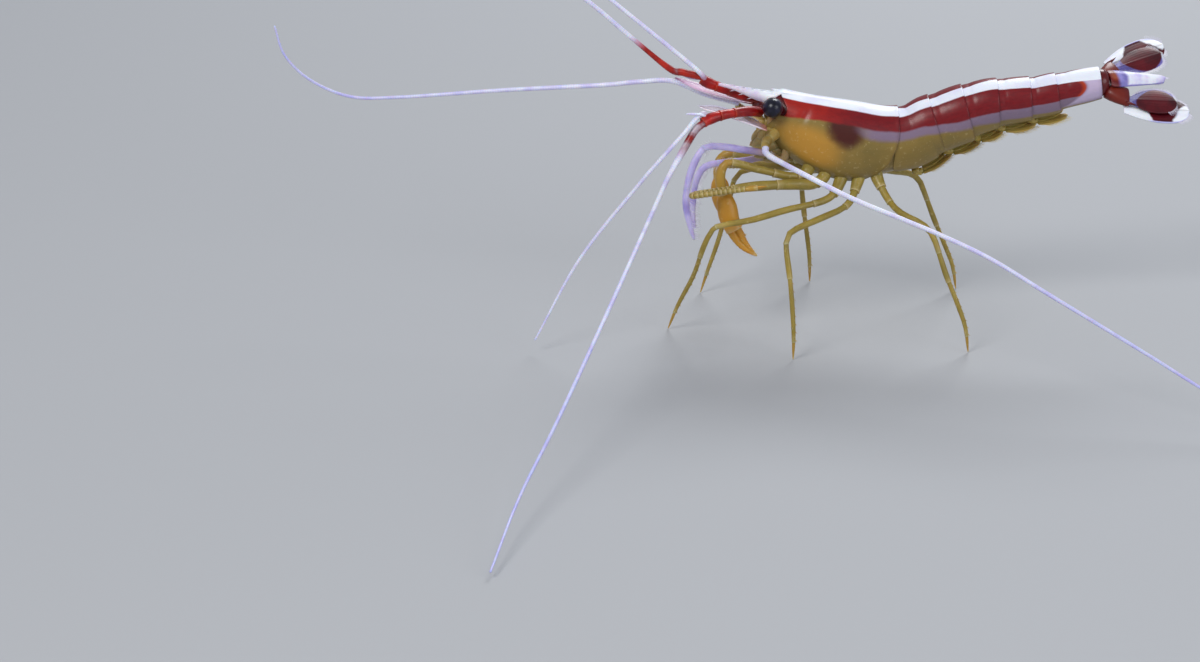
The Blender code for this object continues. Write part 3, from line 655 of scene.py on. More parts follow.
# How far along the outer whip, in millimetres, the red reaches.
RED_REACH = {"left": 4.6, "right": 9.0}
RING_STEP = 0.3
STEM_JOINTS = [
    (0.0, 0.52, [(0, 0.56), (0.5, 0.6), (1, 0.54)]),
    (0.50, 0.74, [(0, 0.5), (1, 0.6)]),
    (0.72, 1.0, [(0, 0.54), (0.6, 0.66), (1, 0.58)]),
]
OUTER_HALF = [(0, 0.44), (0.05, 0.42), (0.10, 0.31), (0.16, 0.27), (0.6, 0.22), (1, 0.12)]
INNER_HALF = [(0, 0.3), (0.04, 0.28), (0.15, 0.25), (0.6, 0.21), (1, 0.12)]
BRANCH_HALF = [(0, 0.17), (0.6, 0.16), (1, 0.08)]


def smooth_path(points, steps):
    """Points on a smooth curve through the given ones, steps to each stretch."""
    points = [Vector(p) for p in points]
    ends = [2 * points[0] - points[1], *points, 2 * points[-1] - points[-2]]
    path = []
    for i in range(1, len(ends) - 2):
        before, start, stop, after = ends[i - 1:i + 3]
        for step in range(steps):
            t = step / steps
            path.append(0.5 * (2 * start + (stop - before) * t
                               + (2 * before - 5 * start + 4 * stop - after) * t ** 2
                               + (3 * start - before - 3 * stop + after) * t ** 3))
    return [*path, points[-1]]


def track(points, steps=10):
    """A smooth path as (run, place, along, side, up) at each of its points."""
    path = smooth_path(points, steps)
    side = Vector((0, 1, 0))
    run = 0.0
    frames = []
    for i, spot in enumerate(path):
        along = (path[min(i + 1, len(path) - 1)] - path[max(i - 1, 0)]).normalized()
        side = (side - along * side.dot(along)).normalized()
        frames.append((run, spot, along, side, side.cross(along)))
        if i + 1 < len(path):
            run += (path[i + 1] - spot).length
    return frames


def ride_track(frames, run):
    """The track's place and directions at a run along it."""
    run = min(max(run, 0.0), frames[-1][0])
    after = next((i for i, f in enumerate(frames) if f[0] >= run), len(frames) - 1)
    a, b = frames[max(after - 1, 0)], frames[after]
    share = (run - a[0]) / (b[0] - a[0]) if b[0] > a[0] else 0.0
    return [a[k].lerp(b[k], share) for k in range(1, 5)]


def whip_stations(frames, radii, red_reach):
    """Stations of a feeler whip: small rings that swell between fine joints."""
    whole = frames[-1][0]
    stations = []
    rings = int(whole / RING_STEP)
    for i in range(rings):
        for part, swell in ((0.0, 0.97), (0.5, 1.03)):
            run = whole * (i + part) / rings
            spot, along, side, up = ride_track(frames, run)
            wide = read(radii, run / whole) * swell
            red = 1 - ease(red_reach - 1.6, red_reach + 1.2, run)
            stations.append((oval(side * wide, up * wide, along, spot), (run, red, 1 - 2 * part)))
    spot, along, side, up = ride_track(frames, whole)
    closed = oval(side * 0, up * 0, along, spot)
    first = stations[0][0] @ Matrix.Diagonal((0, 0, 0, 1))
    return [(first, stations[0][1]), *stations, (closed, (whole, 0.0, 0.0))]


def article(frames, start, stop, radii, flat=1.0, tint=0.0, sink=0.16):
    """Stations of one leg joint: a closed sleeve with a cuff that takes the next one in."""
    length = stop - start
    profile = [(0.0, 0.0), (0.0, 0.7), (0.08, 0.92), (0.2, 1.0)]
    profile += [(0.2 + (length - 0.4) * i / 8, 1.0) for i in range(1, 8)]
    profile += [(length - 0.2, 1.0), (length - 0.07, 1.07), (length, 1.05),
                (length - 0.02, 0.85), (length - sink, 0.6), (length - sink, 0.0)]
    stations = []
    for run, swell in profile:
        spot, along, side, up = ride_track(frames, start + run)
        share = min(max(run / length, 0.0), 1.0)
        wide = read(radii, share) * swell
        cuff = ease(length - 0.35, length, run)
        stations.append((oval(side * wide * flat, up * wide, along, spot),
                         (start + run, tint, cuff)))
    return stations


def sleeves(shape, frames, joints, sides, flat=1.0, tint=0.0, sink=0.16):
    """Adds a limb's joints, each given as two shares of its length and a half-width table."""
    whole = frames[-1][0]
    for first, last, radii in joints:
        tube(shape, article(frames, whole * first, whole * last, radii, flat, tint, sink), sides)


whip_paint, whip_shader, start = wet("whip", 0.34, 0.3, 0.2)
run, red, joint = place_of(start)
cloud, tone = mottle(start, 500, colour(236, 240, 254), colour(208, 204, 244), 0.35)
tone = (run.rise(8, 70) * 0.6).blend(tone, colour(156, 162, 236))
tone = (joint * 0.22 * (1 - red)).blend(tone, colour(176, 166, 206))
crimson = cloud.rise(0.4, 0.65).blend(colour(126, 14, 16), colour(186, 40, 20))
tone = (red * (0.55 + 0.45 * cloud.rise(0.3, 0.5))).blend(tone, crimson)
connect(tone, whip_shader, "Base Color")

stem_paint, stem_shader, start = wet("red_stem", 0.36, 0.15, 0.2)
_, _, cuff = place_of(start)
cloud, tone = mottle(start, 620, colour(132, 10, 16), colour(190, 30, 18), 0.35)
tone = (cuff * 0.3).blend(tone, colour(206, 92, 60))
lay_on(stem_shader, tone, cloud, 0.03)

for side in SIDES:
    stem = bmesh.new()
    sleeves(stem, track(UPPER_STEMS[side]), STEM_JOINTS, 18)
    finish_piece(f"feeler_stem_{side}", stem, stem_paint, [f"antennule_{side}"])

    outer = bmesh.new()
    tube(outer, whip_stations(track(UPPER_OUTER[side]), OUTER_HALF, RED_REACH[side]), 10)
    tube(outer, whip_stations(track(SIDE_BRANCH[side]), BRANCH_HALF, 0.0), 8)
    finish_piece(f"feeler_outer_{side}", outer, whip_paint,
                 [f"antennule_outer_{side}"])

    inner = bmesh.new()
    tube(inner, whip_stations(track(UPPER_INNER[side]), INNER_HALF, 0.5), 10)
    finish_piece(f"feeler_inner_{side}", inner, whip_paint,
                 [f"antennule_inner_{side}"])


# ---- Lower feelers ----
# A jointed yellow base carries one long white whip, and beside it a thin clear scale with a
# stiff white outer edge that ends in a point. The left whip sweeps back past the body.
LOWER_BASES = {
    "left": [(-13.0, -1.5, 23.5), (-13.7, -2.3, 23.2), (-14.2, -3.1, 22.9), (-14.4, -3.7, 22.6),
             (-14.4, -4.3, 22.35)],
    "right": [(-14.1, 2.2, 23.4), (-14.8, 2.5, 23.6), (-15.9, 2.9, 24.1), (-17.0, 3.1, 25.0),
              (-17.4, 3.1, 25.4)],
}
LOWER_WHIPS = {
    "left": [(-14.4, -4.1, 22.4), (-14.4, -4.8, 22.1), (-13.8, -5.7, 21.8), (-12.7, -6.9, 21.5),
             (-10.7, -9.0, 21.0), (-5.2, -12.8, 19.2), (0.4, -16.6, 17.9), (4.7, -19.6, 16.9),
             (9.7, -22.8, 15.3), (15.7, -26.5, 12.5), (26.0, -32.0, 7.5), (31.1, -35.0, 5.0),
             (36.3, -38.4, 2.8), (41.5, -42.0, 1.1)],
    "right": [(-17.2, 2.9, 25.7), (-21.0, 2.9, 26.7), (-24.9, 3.2, 28.2), (-28.7, 4.0, 27.9),
              (-33.2, 5.0, 27.2), (-44.9, 7.0, 26.0), (-56.7, 9.0, 24.6), (-62.6, 10.0, 24.4),
              (-67.2, 10.0, 26.4), (-70.1, 10.0, 29.4), (-71.2, 10.0, 33.0)],
}
SCALE_SPINES = {
    "left": [(-14.3, -2.9, 24.4), (-16.3, -3.0, 25.3), (-17.5, -2.8, 25.7), (-19.8, -2.6, 26.4),
             (-21.9, -2.5, 26.8)],
    "right": [(-15.6, 2.8, 25.9), (-18.8, 3.0, 26.7), (-21.8, 3.2, 27.5), (-24.6, 3.3, 28.5)],
}
SCALE_TINTS = {"left": colour(172, 148, 158), "right": colour(226, 160, 204)}
SCALE_SOLID = {"left": 0.45, "right": 0.92}
SCALE_WALL = 0.12
BASE_JOINTS = [
    (0.0, 0.5, [(0, 0.66), (0.5, 0.7), (1, 0.56)]),
    (0.40, 0.8, [(0, 0.54), (0.6, 0.6), (1, 0.46)]),
    (0.68, 1.0, [(0, 0.44), (0.5, 0.5), (1, 0.34)]),
]
LOWER_HALF = [(0, 0.42), (0.02, 0.36), (0.06, 0.31), (0.3, 0.27), (0.7, 0.2), (1, 0.12)]


def thin_blade(lay, columns=40, rows=24):
    """A thin leaf laid out by lay(share along, share across from -1 to 1)."""
    shape = plate(columns, rows, lambda share, turn: lay(share, -turn))
    bmesh.ops.remove_doubles(shape, verts=shape.verts, dist=1e-8)
    return shape


def scale_line(spine, share):
    """The scale's middle at a share of its length, its direction, its flat way and half-width."""
    place, along, _, _ = ride_track(spine, spine[-1][0] * share)
    flat = (Vector((0, 1, 0.16)) - along * along.y).normalized()
    return place, along, flat, 0.42 + 0.66 * math.sin(math.pi * min(0.9 * share + 0.12, 1)) ** 0.75


def round_off(share):
    """How the scale's inner side narrows to its tip."""
    return math.sqrt(max(1 - ease(0.72, 1.0, share) ** 1.5, 0.0))


base_paint, base_shader, start = wet("feeler_base", 0.38, 0.35, 0.15)
_, _, cuff = place_of(start)
cloud, tone = mottle(start, 600, colour(138, 116, 62), colour(182, 154, 84))
tone = (cuff * 0.35).blend(tone, colour(196, 172, 124))
lay_on(base_shader, tone, cloud, 0.04)

for side, sign in SIDES.items():
    base = bmesh.new()
    sleeves(base, track(LOWER_BASES[side]), BASE_JOINTS, 18, sink=0.0)
    finish_piece(f"whip_base_{side}", base, base_paint, [f"antenna_base_{side}"])

    whip = bmesh.new()
    tube(whip, whip_stations(track(LOWER_WHIPS[side]), LOWER_HALF, -2.0), 10)
    finish_piece(f"whip_{side}", whip, whip_paint, [f"antenna_{side}"])

    spine = track(SCALE_SPINES[side])

    def lay_scale(share, across, spine=spine, sign=sign):
        """The scale is widest before its middle, straight outside and rounded inside."""
        place, along, flat, half = scale_line(spine, share)
        outward = across * sign
        half *= round_off(share) if outward < 0 else 1 - 0.55 * ease(0.9, 1.0, share)
        rise = 0.14 * (1 - across * across) + 0.10 * ease(0.8, 1.0, outward)
        normal = flat.cross(along).normalized()
        normal = normal if normal.z > 0 else -normal
        return place + flat * across * half + normal * rise, (share, outward, 0.0)

    leaf = thin_blade(lay_scale)
    leaf_paint, leaf_shader, start = wet(f"feeler_scale_{side}", 0.36, 0.2, 0.2)
    share, outward, _ = place_of(start)
    cloud = speckle(start, 520)
    rays = start.math("SINE", outward * 26 + share * 9) * 0.5 + 0.5
    tone = (cloud * 0.5 + rays * 0.15).blend(SCALE_TINTS[side], colour(172, 152, 196))
    edge = outward.rise(0.62, 0.84)
    tone = (edge * 0.95).blend(tone, colour(244, 232, 244))
    tone = ((1 - share.rise(0.0, 0.16)) * 0.75).blend(tone, colour(196, 96, 52))
    connect(tone, leaf_shader, "Base Color")
    clear = SCALE_SOLID[side] + (1 - SCALE_SOLID[side]) * edge
    connect(clear, leaf_shader, "Alpha")
    relief(rays, leaf_shader, 0.02)
    finish_piece(f"feeler_scale_{side}", leaf, leaf_paint,
                 [f"antenna_scale_{side}"], 0, SCALE_WALL)


# ---- Mouthparts ----
# Small overlapping feeding limbs packed below the head: five pairs of soft curved leaves in
# front of the jaws. They are a soft yellow brown.
MOUTH_STEPS = 14
MOUTH_LEAVES = [
    # root, reach, and half the width
    ((-13.0, 1.5, 23.3), (-2.2, 0.35, -0.3), 0.8),
    ((-12.9, 1.2, 22.4), (-2.9, 0.3, -0.4), 0.85),
    ((-12.6, 1.2, 21.6), (-3.4, 0.3, -0.3), 0.8),
    ((-12.0, 1.1, 20.9), (-3.6, 0.3, -0.2), 0.75),
    ((-11.2, 1.1, 20.3), (-3.4, 0.25, -0.1), 0.7),
]

mouth_paint, mouth_shader, start = wet("mouth_leaves", 0.4, 0.45, 0.12)
share, _, _ = place_of(start)
cloud, tone = mottle(start, 800, colour(142, 120, 68), colour(184, 158, 92))
tone = (share.rise(0.5, 1.0) * 0.5).blend(tone, colour(196, 180, 138))
lay_on(mouth_shader, tone, cloud, 0.05)

mouth = bmesh.new()
for root, reach, wide in MOUTH_LEAVES:
    for sign in (-1, 1):
        base_place = Vector((root[0], 0.3 + sign * root[1], root[2]))
        way = Vector((reach[0], sign * reach[1], reach[2]))
        points = [base_place, base_place + way * 0.5 + Vector((0, sign * 0.12, 0.18)),
                  base_place + way + Vector((0.0, -sign * 0.2, -0.35))]
        leaf_track = track(points)
        stations = []
        for i in range(MOUTH_STEPS + 1):
            share = i / MOUTH_STEPS
            place, along, cross, up = ride_track(leaf_track, leaf_track[-1][0] * share)
            half = 0.0
            if 0 < i < MOUTH_STEPS:
                half = wide * math.sin(math.pi * (0.12 + 0.88 * share)) ** 0.6
            stations.append((oval(cross * half * 0.5, up * half, along, place),
                             (share, 0.0, 0.0)))
        tube(mouth, stations, 14)
finish_piece("mouth_leaves", mouth, mouth_paint, ["mouthparts"])


# ---- Third jaw-legs ----
# The longest feeding limbs are held out in front and bent down like a pair of hooks. Each has
# three long flattened joints, lilac white, with combs of bristles along the inner edge.
JAW_LEGS = {
    "left": [(-11.6, -1.3, 22.2), (-12.4, -1.7, 20.2), (-14.3, -2.0, 21.1), (-17.0, -2.1, 21.6),
             (-19.3, -2.3, 22.0), (-21.2, -2.6, 22.0), (-22.3, -3.0, 20.6), (-23.1, -3.3, 18.3),
             (-23.4, -3.5, 15.7), (-22.9, -3.5, 12.9), (-22.4, -3.5, 11.2)],
    "right": [(-11.6, 2.0, 21.4), (-12.2, 2.4, 19.3), (-14.3, 2.4, 19.3), (-16.6, 2.2, 18.9),
              (-18.7, 2.0, 18.8), (-20.6, 1.9, 18.5), (-21.7, 1.8, 17.6), (-22.3, 1.7, 15.6),
              (-22.5, 1.7, 12.9), (-22.2, 1.7, 10.8)],
}
# Where its joints start and end, as shares of the whole limb, and each one's half-width table.
JAW_JOINTS = [
    (0.0, 0.17, [(0, 0.5), (1, 0.5)]),
    (0.16, 0.51, [(0, 0.36), (0.5, 0.42), (1, 0.38)]),
    (0.502, 0.73, [(0, 0.36), (0.5, 0.43), (1, 0.36)]),
    (0.722, 1.0, [(0, 0.34), (0.35, 0.4), (0.8, 0.28), (1, 0.12)]),
]

jaw_paint, jaw_shader, start = wet("jaw_leg", 0.38, 0.35, 0.15)
run, _, cuff = place_of(start)
cloud, tone = mottle(start, 480, colour(166, 152, 222), colour(210, 202, 246))
tone = (1 - run.rise(3.0, 8.0)).blend(tone, colour(150, 124, 82))
tone = (cuff * 0.5).blend(tone, colour(226, 218, 244))
lay_on(jaw_shader, tone, cloud, 0.04)

for side in SIDES:
    jaw = bmesh.new()
    sleeves(jaw, track(JAW_LEGS[side]), JAW_JOINTS, 16, flat=0.72)
    finish_piece(f"jaw_leg_{side}", jaw, jaw_paint, [f"maxilliped_{side}"])


# ---- Claw legs ----
# The first pair of legs. An olive arm bends down at the wrist to a stout orange hand, whose
# movable finger closes on the fixed one with crossing tips.
CLAW_ARMS = {
    "left": [(-9.0, -1.5, 20.4), (-9.6, -2.0, 18.8), (-11.4, -2.8, 18.6), (-15.1, -3.3, 19.6),
             (-18.4, -3.9, 20.6), (-19.3, -4.1, 19.9), (-19.5, -4.2, 18.5), (-19.1, -4.3, 16.9)],
    "right": [(-9.0, 2.2, 20.8), (-9.6, 2.7, 19.3), (-11.4, 3.4, 18.9), (-14.9, 4.3, 18.7),
              (-18.0, 4.9, 19.0), (-19.1, 5.1, 18.3), (-19.4, 5.2, 17.1), (-19.3, 5.2, 15.9)],
}
CLAW_HANDS = {
    "left": [(-19.15, -4.3, 17.1), (-18.7, -4.5, 15.4), (-18.3, -4.8, 13.8), (-16.9, -5.0, 11.3),
             (-15.2, -5.1, 9.7)],
    "right": [(-19.3, 5.2, 16.0), (-19.1, 5.2, 14.3), (-18.7, 5.1, 12.7), (-17.5, 4.9, 10.3),
              (-16.1, 4.7, 8.8)],
}
ARM_JOINTS = [
    (0.0, 0.2, [(0, 0.85), (1, 0.62)]),
    (0.18, 0.38, [(0, 0.48), (1, 0.5)]),
    (0.37, 0.71, [(0, 0.4), (0.6, 0.5), (1, 0.46)]),
]
WRIST = (0.7, 1.0, [(0, 0.4), (0.6, 0.6), (1, 0.66)])
PALM = (0.0, 0.52, [(0, 0.6), (0.15, 0.95), (0.45, 1.18), (0.8, 1.1), (1, 0.96)])
FINGER_ROOT = 0.47
FINGER_STEPS = 24
# How far each finger stands off the hand's middle line, and its half-width.
FINGERS = [(0.44, 0.50), (-0.40, 0.44)]

limb_paint, limb_shader, start = wet("olive_limb", 0.38, 0.35, 0.15)
_, tint, cuff = place_of(start)
cloud = speckle(start, 430)
fibre = speckle(start, 1900, 2.0)
tone = (cloud * 1.2 - 0.1).blend(colour(122, 108, 46), colour(178, 154, 74))
tone = tint.blend(tone, colour(206, 146, 48))
tone = (fibre.rise(0.58, 0.8) * 0.3).blend(tone, colour(228, 212, 150))
tone = (cuff * 0.55).blend(tone, colour(216, 196, 150))
lay_on(limb_shader, tone, fibre, 0.03)

for side, sign in SIDES.items():
    arm_track = track(CLAW_ARMS[side])
    arm = bmesh.new()
    sleeves(arm, arm_track, ARM_JOINTS, 16)
    sleeves(arm, arm_track, [WRIST], 16, tint=0.35)
    finish_piece(f"claw_arm_{side}", arm, limb_paint, [f"leg_1_{side}"])

    hand_track = track(CLAW_HANDS[side])
    whole = hand_track[-1][0]
    hand = bmesh.new()
    sleeves(hand, hand_track, [PALM], 22, flat=0.78, tint=0.85, sink=0.1)
    for (apart, thick), crossing in zip(FINGERS, (sign, -sign)):
        stations = []
        for i in range(FINGER_STEPS + 1):
            share = i / FINGER_STEPS
            run = whole * (FINGER_ROOT + (1.0 - FINGER_ROOT) * share)
            place, along, cross, up = ride_track(hand_track, run)
            open_out = apart * (1 - share ** 1.7) - apart * 0.16 * share ** 6
            ridge = 0.03 * math.sin(share * 60) * (0.15 < share < 0.85)
            half = thick * (1 - 0.76 * share ** 1.9) + ridge if 0 < i < FINGER_STEPS else 0.0
            spot = place + up * open_out + cross * (0.06 * crossing * share ** 3)
            stations.append((oval(cross * half * 0.9, up * half, along, spot),
                             (run, 0.85 + 0.15 * share, ease(0.8, 1.0, share))))
        tube(hand, stations, 14)
    finish_piece(f"claw_hand_{side}", hand, limb_paint, [f"claw_{side}"])


# ---- Second legs ----
# Slender legs. Each folds back on itself; the wrist about the fold is made of many short rings
# and ends in a tiny pincer.
FOLDED_LEGS = {
    "left": [(-7.2, -1.5, 19.6), (-7.6, -2.0, 18.2), (-8.9, -3.0, 17.7), (-11.0, -3.9, 18.0),
             (-15.5, -5.0, 18.1), (-19.6, -6.0, 17.9), (-22.1, -6.5, 17.7), (-22.8, -7.0, 17.6),
             (-22.0, -7.5, 17.8), (-18.5, -7.5, 18.3), (-14.2, -7.2, 18.8)],
    "right": [(-7.2, 2.2, 20.2), (-7.6, 2.8, 18.8), (-9.0, 3.8, 17.9), (-11.5, 5.4, 17.3),
              (-15.0, 7.0, 16.9), (-18.4, 8.2, 16.5), (-19.2, 8.9, 16.5), (-18.4, 9.5, 16.7),
              (-15.4, 9.3, 17.3), (-12.4, 8.9, 17.9)],
}
FOLD_JOINTS = [
    (0.0, 0.1, [(0, 0.85), (1, 0.62)]),
    (0.09, 0.29, [(0, 0.56), (0.5, 0.66), (1, 0.58)]),
    (0.285, 0.48, [(0, 0.54), (0.5, 0.58), (1, 0.46)]),
]
RINGS_FROM = 0.47
FOLD_RINGS = 22
FOLD_PALM = (0.9, 0.955, [(0, 0.24), (0.5, 0.34), (1, 0.3)])
PINCER_ROOT = 0.945
PINCER_STEPS = 8

rings = []
step = (FOLD_PALM[0] - RINGS_FROM) / FOLD_RINGS
for i in range(FOLD_RINGS):
    first = RINGS_FROM + step * i
    wide = 0.38 - 0.08 * math.sin(math.pi / 2 * i / FOLD_RINGS)
    rings.append((first, first + step * 1.08, [(0, wide), (1, wide * 1.06)]))

for side in SIDES:
    fold_track = track(FOLDED_LEGS[side])
    whole = fold_track[-1][0]
    leg = bmesh.new()
    sleeves(leg, fold_track, FOLD_JOINTS, 14)
    sleeves(leg, fold_track, rings, 12, sink=0.05)
    sleeves(leg, fold_track, [FOLD_PALM], 12, tint=0.4, sink=0.05)
    for apart in (0.13, -0.13):
        stations = []
        for i in range(PINCER_STEPS + 1):
            share = i / PINCER_STEPS
            run = whole * (PINCER_ROOT + (1 - PINCER_ROOT) * share)
            place, along, cross, up = ride_track(fold_track, run)
            half = 0.13 * (1 - 0.6 * share) if 0 < i < PINCER_STEPS else 0.0
            spot = place + up * apart * (1 - share ** 2)
            stations.append((oval(cross * half, up * half, along, spot), (whole, 0.7, 0.0)))
        tube(leg, stations, 8)
    finish_piece(f"folded_leg_{side}", leg, limb_paint, [f"leg_2_{side}"])


# ---- Walking legs ----
# Three pairs of slender legs with six joints each: hip, collar, thigh, knee piece, shin and a
# short pointed claw. The shin has a row of small spines below.
WALKING_LEGS = {
    "leg_3_left": [
        (-5.4, -1.4, 19.2), (-5.6, -1.9, 17.9), (-7.2, -3.8, 16.2), (-12.2, -5.6, 15.4),
        (-16.0, -6.4, 14.5), (-19.7, -7.0, 14.0), (-20.7, -6.9, 13.0), (-21.5, -6.4, 11.0),
        (-22.5, -5.0, 7.3), (-24.2, -3.7, 3.3), (-25.3, -2.8, 0.1),
    ],
    "leg_3_right": [
        (-5.4, 2.4, 19.9), (-5.6, 2.9, 18.6), (-7.2, 4.6, 17.2), (-11.0, 7.2, 16.5),
        (-14.4, 9.0, 15.9), (-16.6, 10.0, 15.1), (-17.4, 10.3, 13.8), (-18.1, 10.3, 10.5),
        (-19.2, 10.2, 6.3), (-20.3, 10.0, 3.0), (-21.2, 9.8, 0.1),
    ],
    "leg_4_left": [
        (-3.5, -1.4, 19.2), (-3.6, -1.9, 17.9), (-4.9, -4.3, 15.7), (-8.0, -6.8, 14.9),
        (-10.9, -9.1, 14.4), (-12.0, -10.3, 13.9), (-12.2, -11.0, 12.6), (-11.8, -11.9, 9.5),
        (-11.5, -12.5, 6.4), (-11.3, -13.0, 3.0), (-11.3, -13.1, 0.1),
    ],
    "leg_4_right": [
        (-3.5, 2.4, 19.9), (-3.6, 2.9, 18.6), (-4.9, 5.2, 16.7), (-6.6, 7.9, 15.9),
        (-8.3, 10.2, 15.2), (-9.1, 11.3, 14.2), (-9.2, 11.8, 12.6), (-8.8, 12.6, 9.0),
        (-8.3, 13.3, 5.6), (-8.0, 13.7, 3.0), (-7.9, 13.8, 0.1),
    ],
    "leg_5_left": [
        (-1.5, -1.3, 19.4), (-1.4, -1.8, 18.1), (-0.2, -3.9, 16.1), (1.1, -6.0, 15.2),
        (3.2, -7.9, 14.6), (4.3, -8.8, 13.8), (4.9, -9.2, 12.5), (6.1, -9.8, 9.0),
        (7.5, -10.3, 5.6), (8.4, -10.6, 3.0), (8.8, -10.7, 0.1),
    ],
    "leg_5_right": [
        (-1.5, 2.4, 20.0), (-1.4, 2.9, 18.7), (-0.4, 4.8, 17.1), (1.0, 6.8, 16.2),
        (3.2, 8.6, 15.4), (4.4, 9.4, 14.4), (5.1, 9.8, 12.9), (6.5, 10.3, 9.2), (8.0, 10.8, 5.6),
        (9.0, 11.1, 3.0), (9.5, 11.2, 0.1),
    ],
}
LEG_JOINTS = [
    (0.0, 0.105, [(0, 0.85), (0.6, 0.7), (1, 0.56)]),
    (0.095, 0.19, [(0, 0.44), (1, 0.42)]),
    (0.18, 0.54, [(0, 0.35), (0.4, 0.4), (1, 0.32)]),
    (0.53, 0.675, [(0, 0.29), (0.7, 0.34), (1, 0.32)]),
    (0.665, 0.93, [(0, 0.26), (0.5, 0.28), (1, 0.22)]),
]
LEG_CLAW = (0.92, 1.0, [(0, 0.2), (0.5, 0.16), (1, 0.07)])
SHIN_SPINES = 8

for name, points in WALKING_LEGS.items():
    leg_track = track(points)
    whole = leg_track[-1][0]
    leg = bmesh.new()
    sleeves(leg, leg_track, LEG_JOINTS, 14, flat=0.9)
    sleeves(leg, leg_track, [LEG_CLAW], 14, flat=0.9, tint=0.25, sink=0.02)
    for i in range(SHIN_SPINES):
        run = whole * (0.69 + 0.23 * i / (SHIN_SPINES - 1))
        place, along, cross, up = ride_track(leg_track, run)
        below = up if up.dot(Vector((1, 0, 0))) > 0 else -up
        spike(leg, place + below * 0.2, below * 0.24 + along * 0.3, 0.05, (run, 0.5, 0.0))
    finish_piece(f"{name}_joints", leg, limb_paint, [name])


# ---- Swimming paddles ----
# Five pairs fold back under the tail, each a short root with an outer and an inner leaf. They
# are thin, soft and ochre yellow, streaked along their length.
PADDLES = range(1, 6)
PADDLE_START = 0.12
PADDLE_REACH = 0.98
PADDLE_SPREAD = 0.22
PADDLE_DROP = 0.42
PADDLE_STEM = [(0.0, 0.0), (0.0, 0.45), (0.3, 0.5), (0.6, 0.46), (0.85, 0.36), (0.96, 0.22),
               (1.0, 0.0)]
PADDLE_STEPS = 16
FLAP_DEPTH = 0.12
# How far out each leaf stands, how far it is sunk toward the belly, and its size.
OUTER_LEAF = (0.34, 0.0, 1.0)
INNER_LEAF = (-0.30, 0.22, 0.88)

paddle_starts = [a + PADDLE_START * (b - a) for a, b in zip(TAIL_EDGES, TAIL_EDGES[1:])]


def paddle_root(x, sign):
    """Where a paddle hangs from the belly at x."""
    centre, _, left, up = trunk_frame(x)
    drop = read(TRUNK_DEPTH, x) / 2 * (1 + FLAP_DEPTH) + PADDLE_DROP
    return centre - up * drop - left * sign * read(TRUNK_BREADTH, x) * PADDLE_SPREAD


def paddle_seat(number, sign):
    """Root, reach, left, up and tail-ward directions of one paddle."""
    x, next_x = paddle_starts[number - 1:number + 1]
    _, ahead, left, up = trunk_frame(x)
    root = paddle_root(x, sign)
    return root, (paddle_root(next_x, sign) - root) * PADDLE_REACH, left, up, ahead


def paddle_leaf(share, leaf, root, reach, out):
    """The middle line of a leaf, before it bows, and its half-width."""
    shift, _, size = leaf
    half = 0.74 * size * math.sin(math.pi * (0.1 + 0.86 * share)) ** 0.5
    return root + reach * (0.14 + 1.02 * share * size) + out * shift * (0.4 + share), half


def paddle_bow(share):
    """How far a leaf sags at a share of its length."""
    return 0.16 * math.sin(math.pi * share)


paddle_paint, paddle_shader, start = wet("swimming_paddle", 0.42, 0.4, 0.1)
share, across, _ = place_of(start)
cloud = speckle(start, 500)
ray = start.math("SINE", across * 15 + cloud * 5) * 0.5 + 0.5
tone = (ray * 0.5 + cloud * 0.5).blend(colour(138, 120, 56), colour(182, 158, 84))
tone = (share.rise(0.7, 1.0) * 0.4).blend(tone, colour(206, 190, 136))
lay_on(paddle_shader, tone, ray, 0.02)

for number in PADDLES:
    for side, sign in SIDES.items():
        root, reach, left, up, ahead = paddle_seat(number, sign)
        out = -left * sign
        paddle = bmesh.new()
        root_track = track([root + up * 0.9 - ahead * 0.1, root + up * 0.3, root + reach * 0.24])
        stem_stations = []
        for share, wide in PADDLE_STEM:
            spot, along, cross, over = ride_track(root_track, root_track[-1][0] * share)
            stem_stations.append((oval(cross * wide, over * wide, along, spot), (0.1, 0.0, 0.0)))
        tube(paddle, stem_stations, 14)
        place = paddle.verts.layers.float_vector.get("place")
        for leaf in (OUTER_LEAF, INNER_LEAF):
            stations = []
            for i in range(PADDLE_STEPS + 1):
                share = i / PADDLE_STEPS
                spot, half = paddle_leaf(share, leaf, root, reach, out)
                half = half if 0 < i < PADDLE_STEPS else 0.0
                thick = 0.17 * (1 - 0.5 * share) if half else 0.0
                spot += up * (leaf[1] - paddle_bow(share))
                stations.append((oval(left * half, up * thick, reach.normalized(), spot),
                                 (share, 0.0, 0.0)))
            before = len(paddle.verts)
            tube(paddle, stations, 16)
            paddle.verts.ensure_lookup_table()
            for vertex in paddle.verts[before:]:
                offset = (vertex.co - at(root)).dot(out) / MM
                vertex[place] = (vertex[place].x, offset, 0.0)
        finish_piece(f"paddle_{number}_{side}", paddle, paddle_paint,
                     [f"pleopod_{number}_{side}"])


# ---- Tail fan ----
# A tapered middle plate between two pairs of oval blades on short stout bases. The blades are
# thin plates with a raised rib: deep red ovals, white at the root and at the outer tip, and a
# clear blue violet skin near the root of the inner pair.
FAN_LEAN = 34.0
FAN_YAW = 12.0
FAN_PITCH = -7.0
FAN_DROP = 0.5
TELSON_PITCH = -13.0
TELSON_LIFT = 0.7
TELSON_LENGTH = 7.2
TELSON_BREADTH = 2.4
TELSON_HALF = [(0, 0.86), (0.08, 1.0), (0.5, 0.78), (0.85, 0.5), (1, 0.3)]
TELSON_WALL = 0.2
FAN_BASE = {"out": 1.1, "lift": -0.35, "spread": 18.0, "length": 1.9}
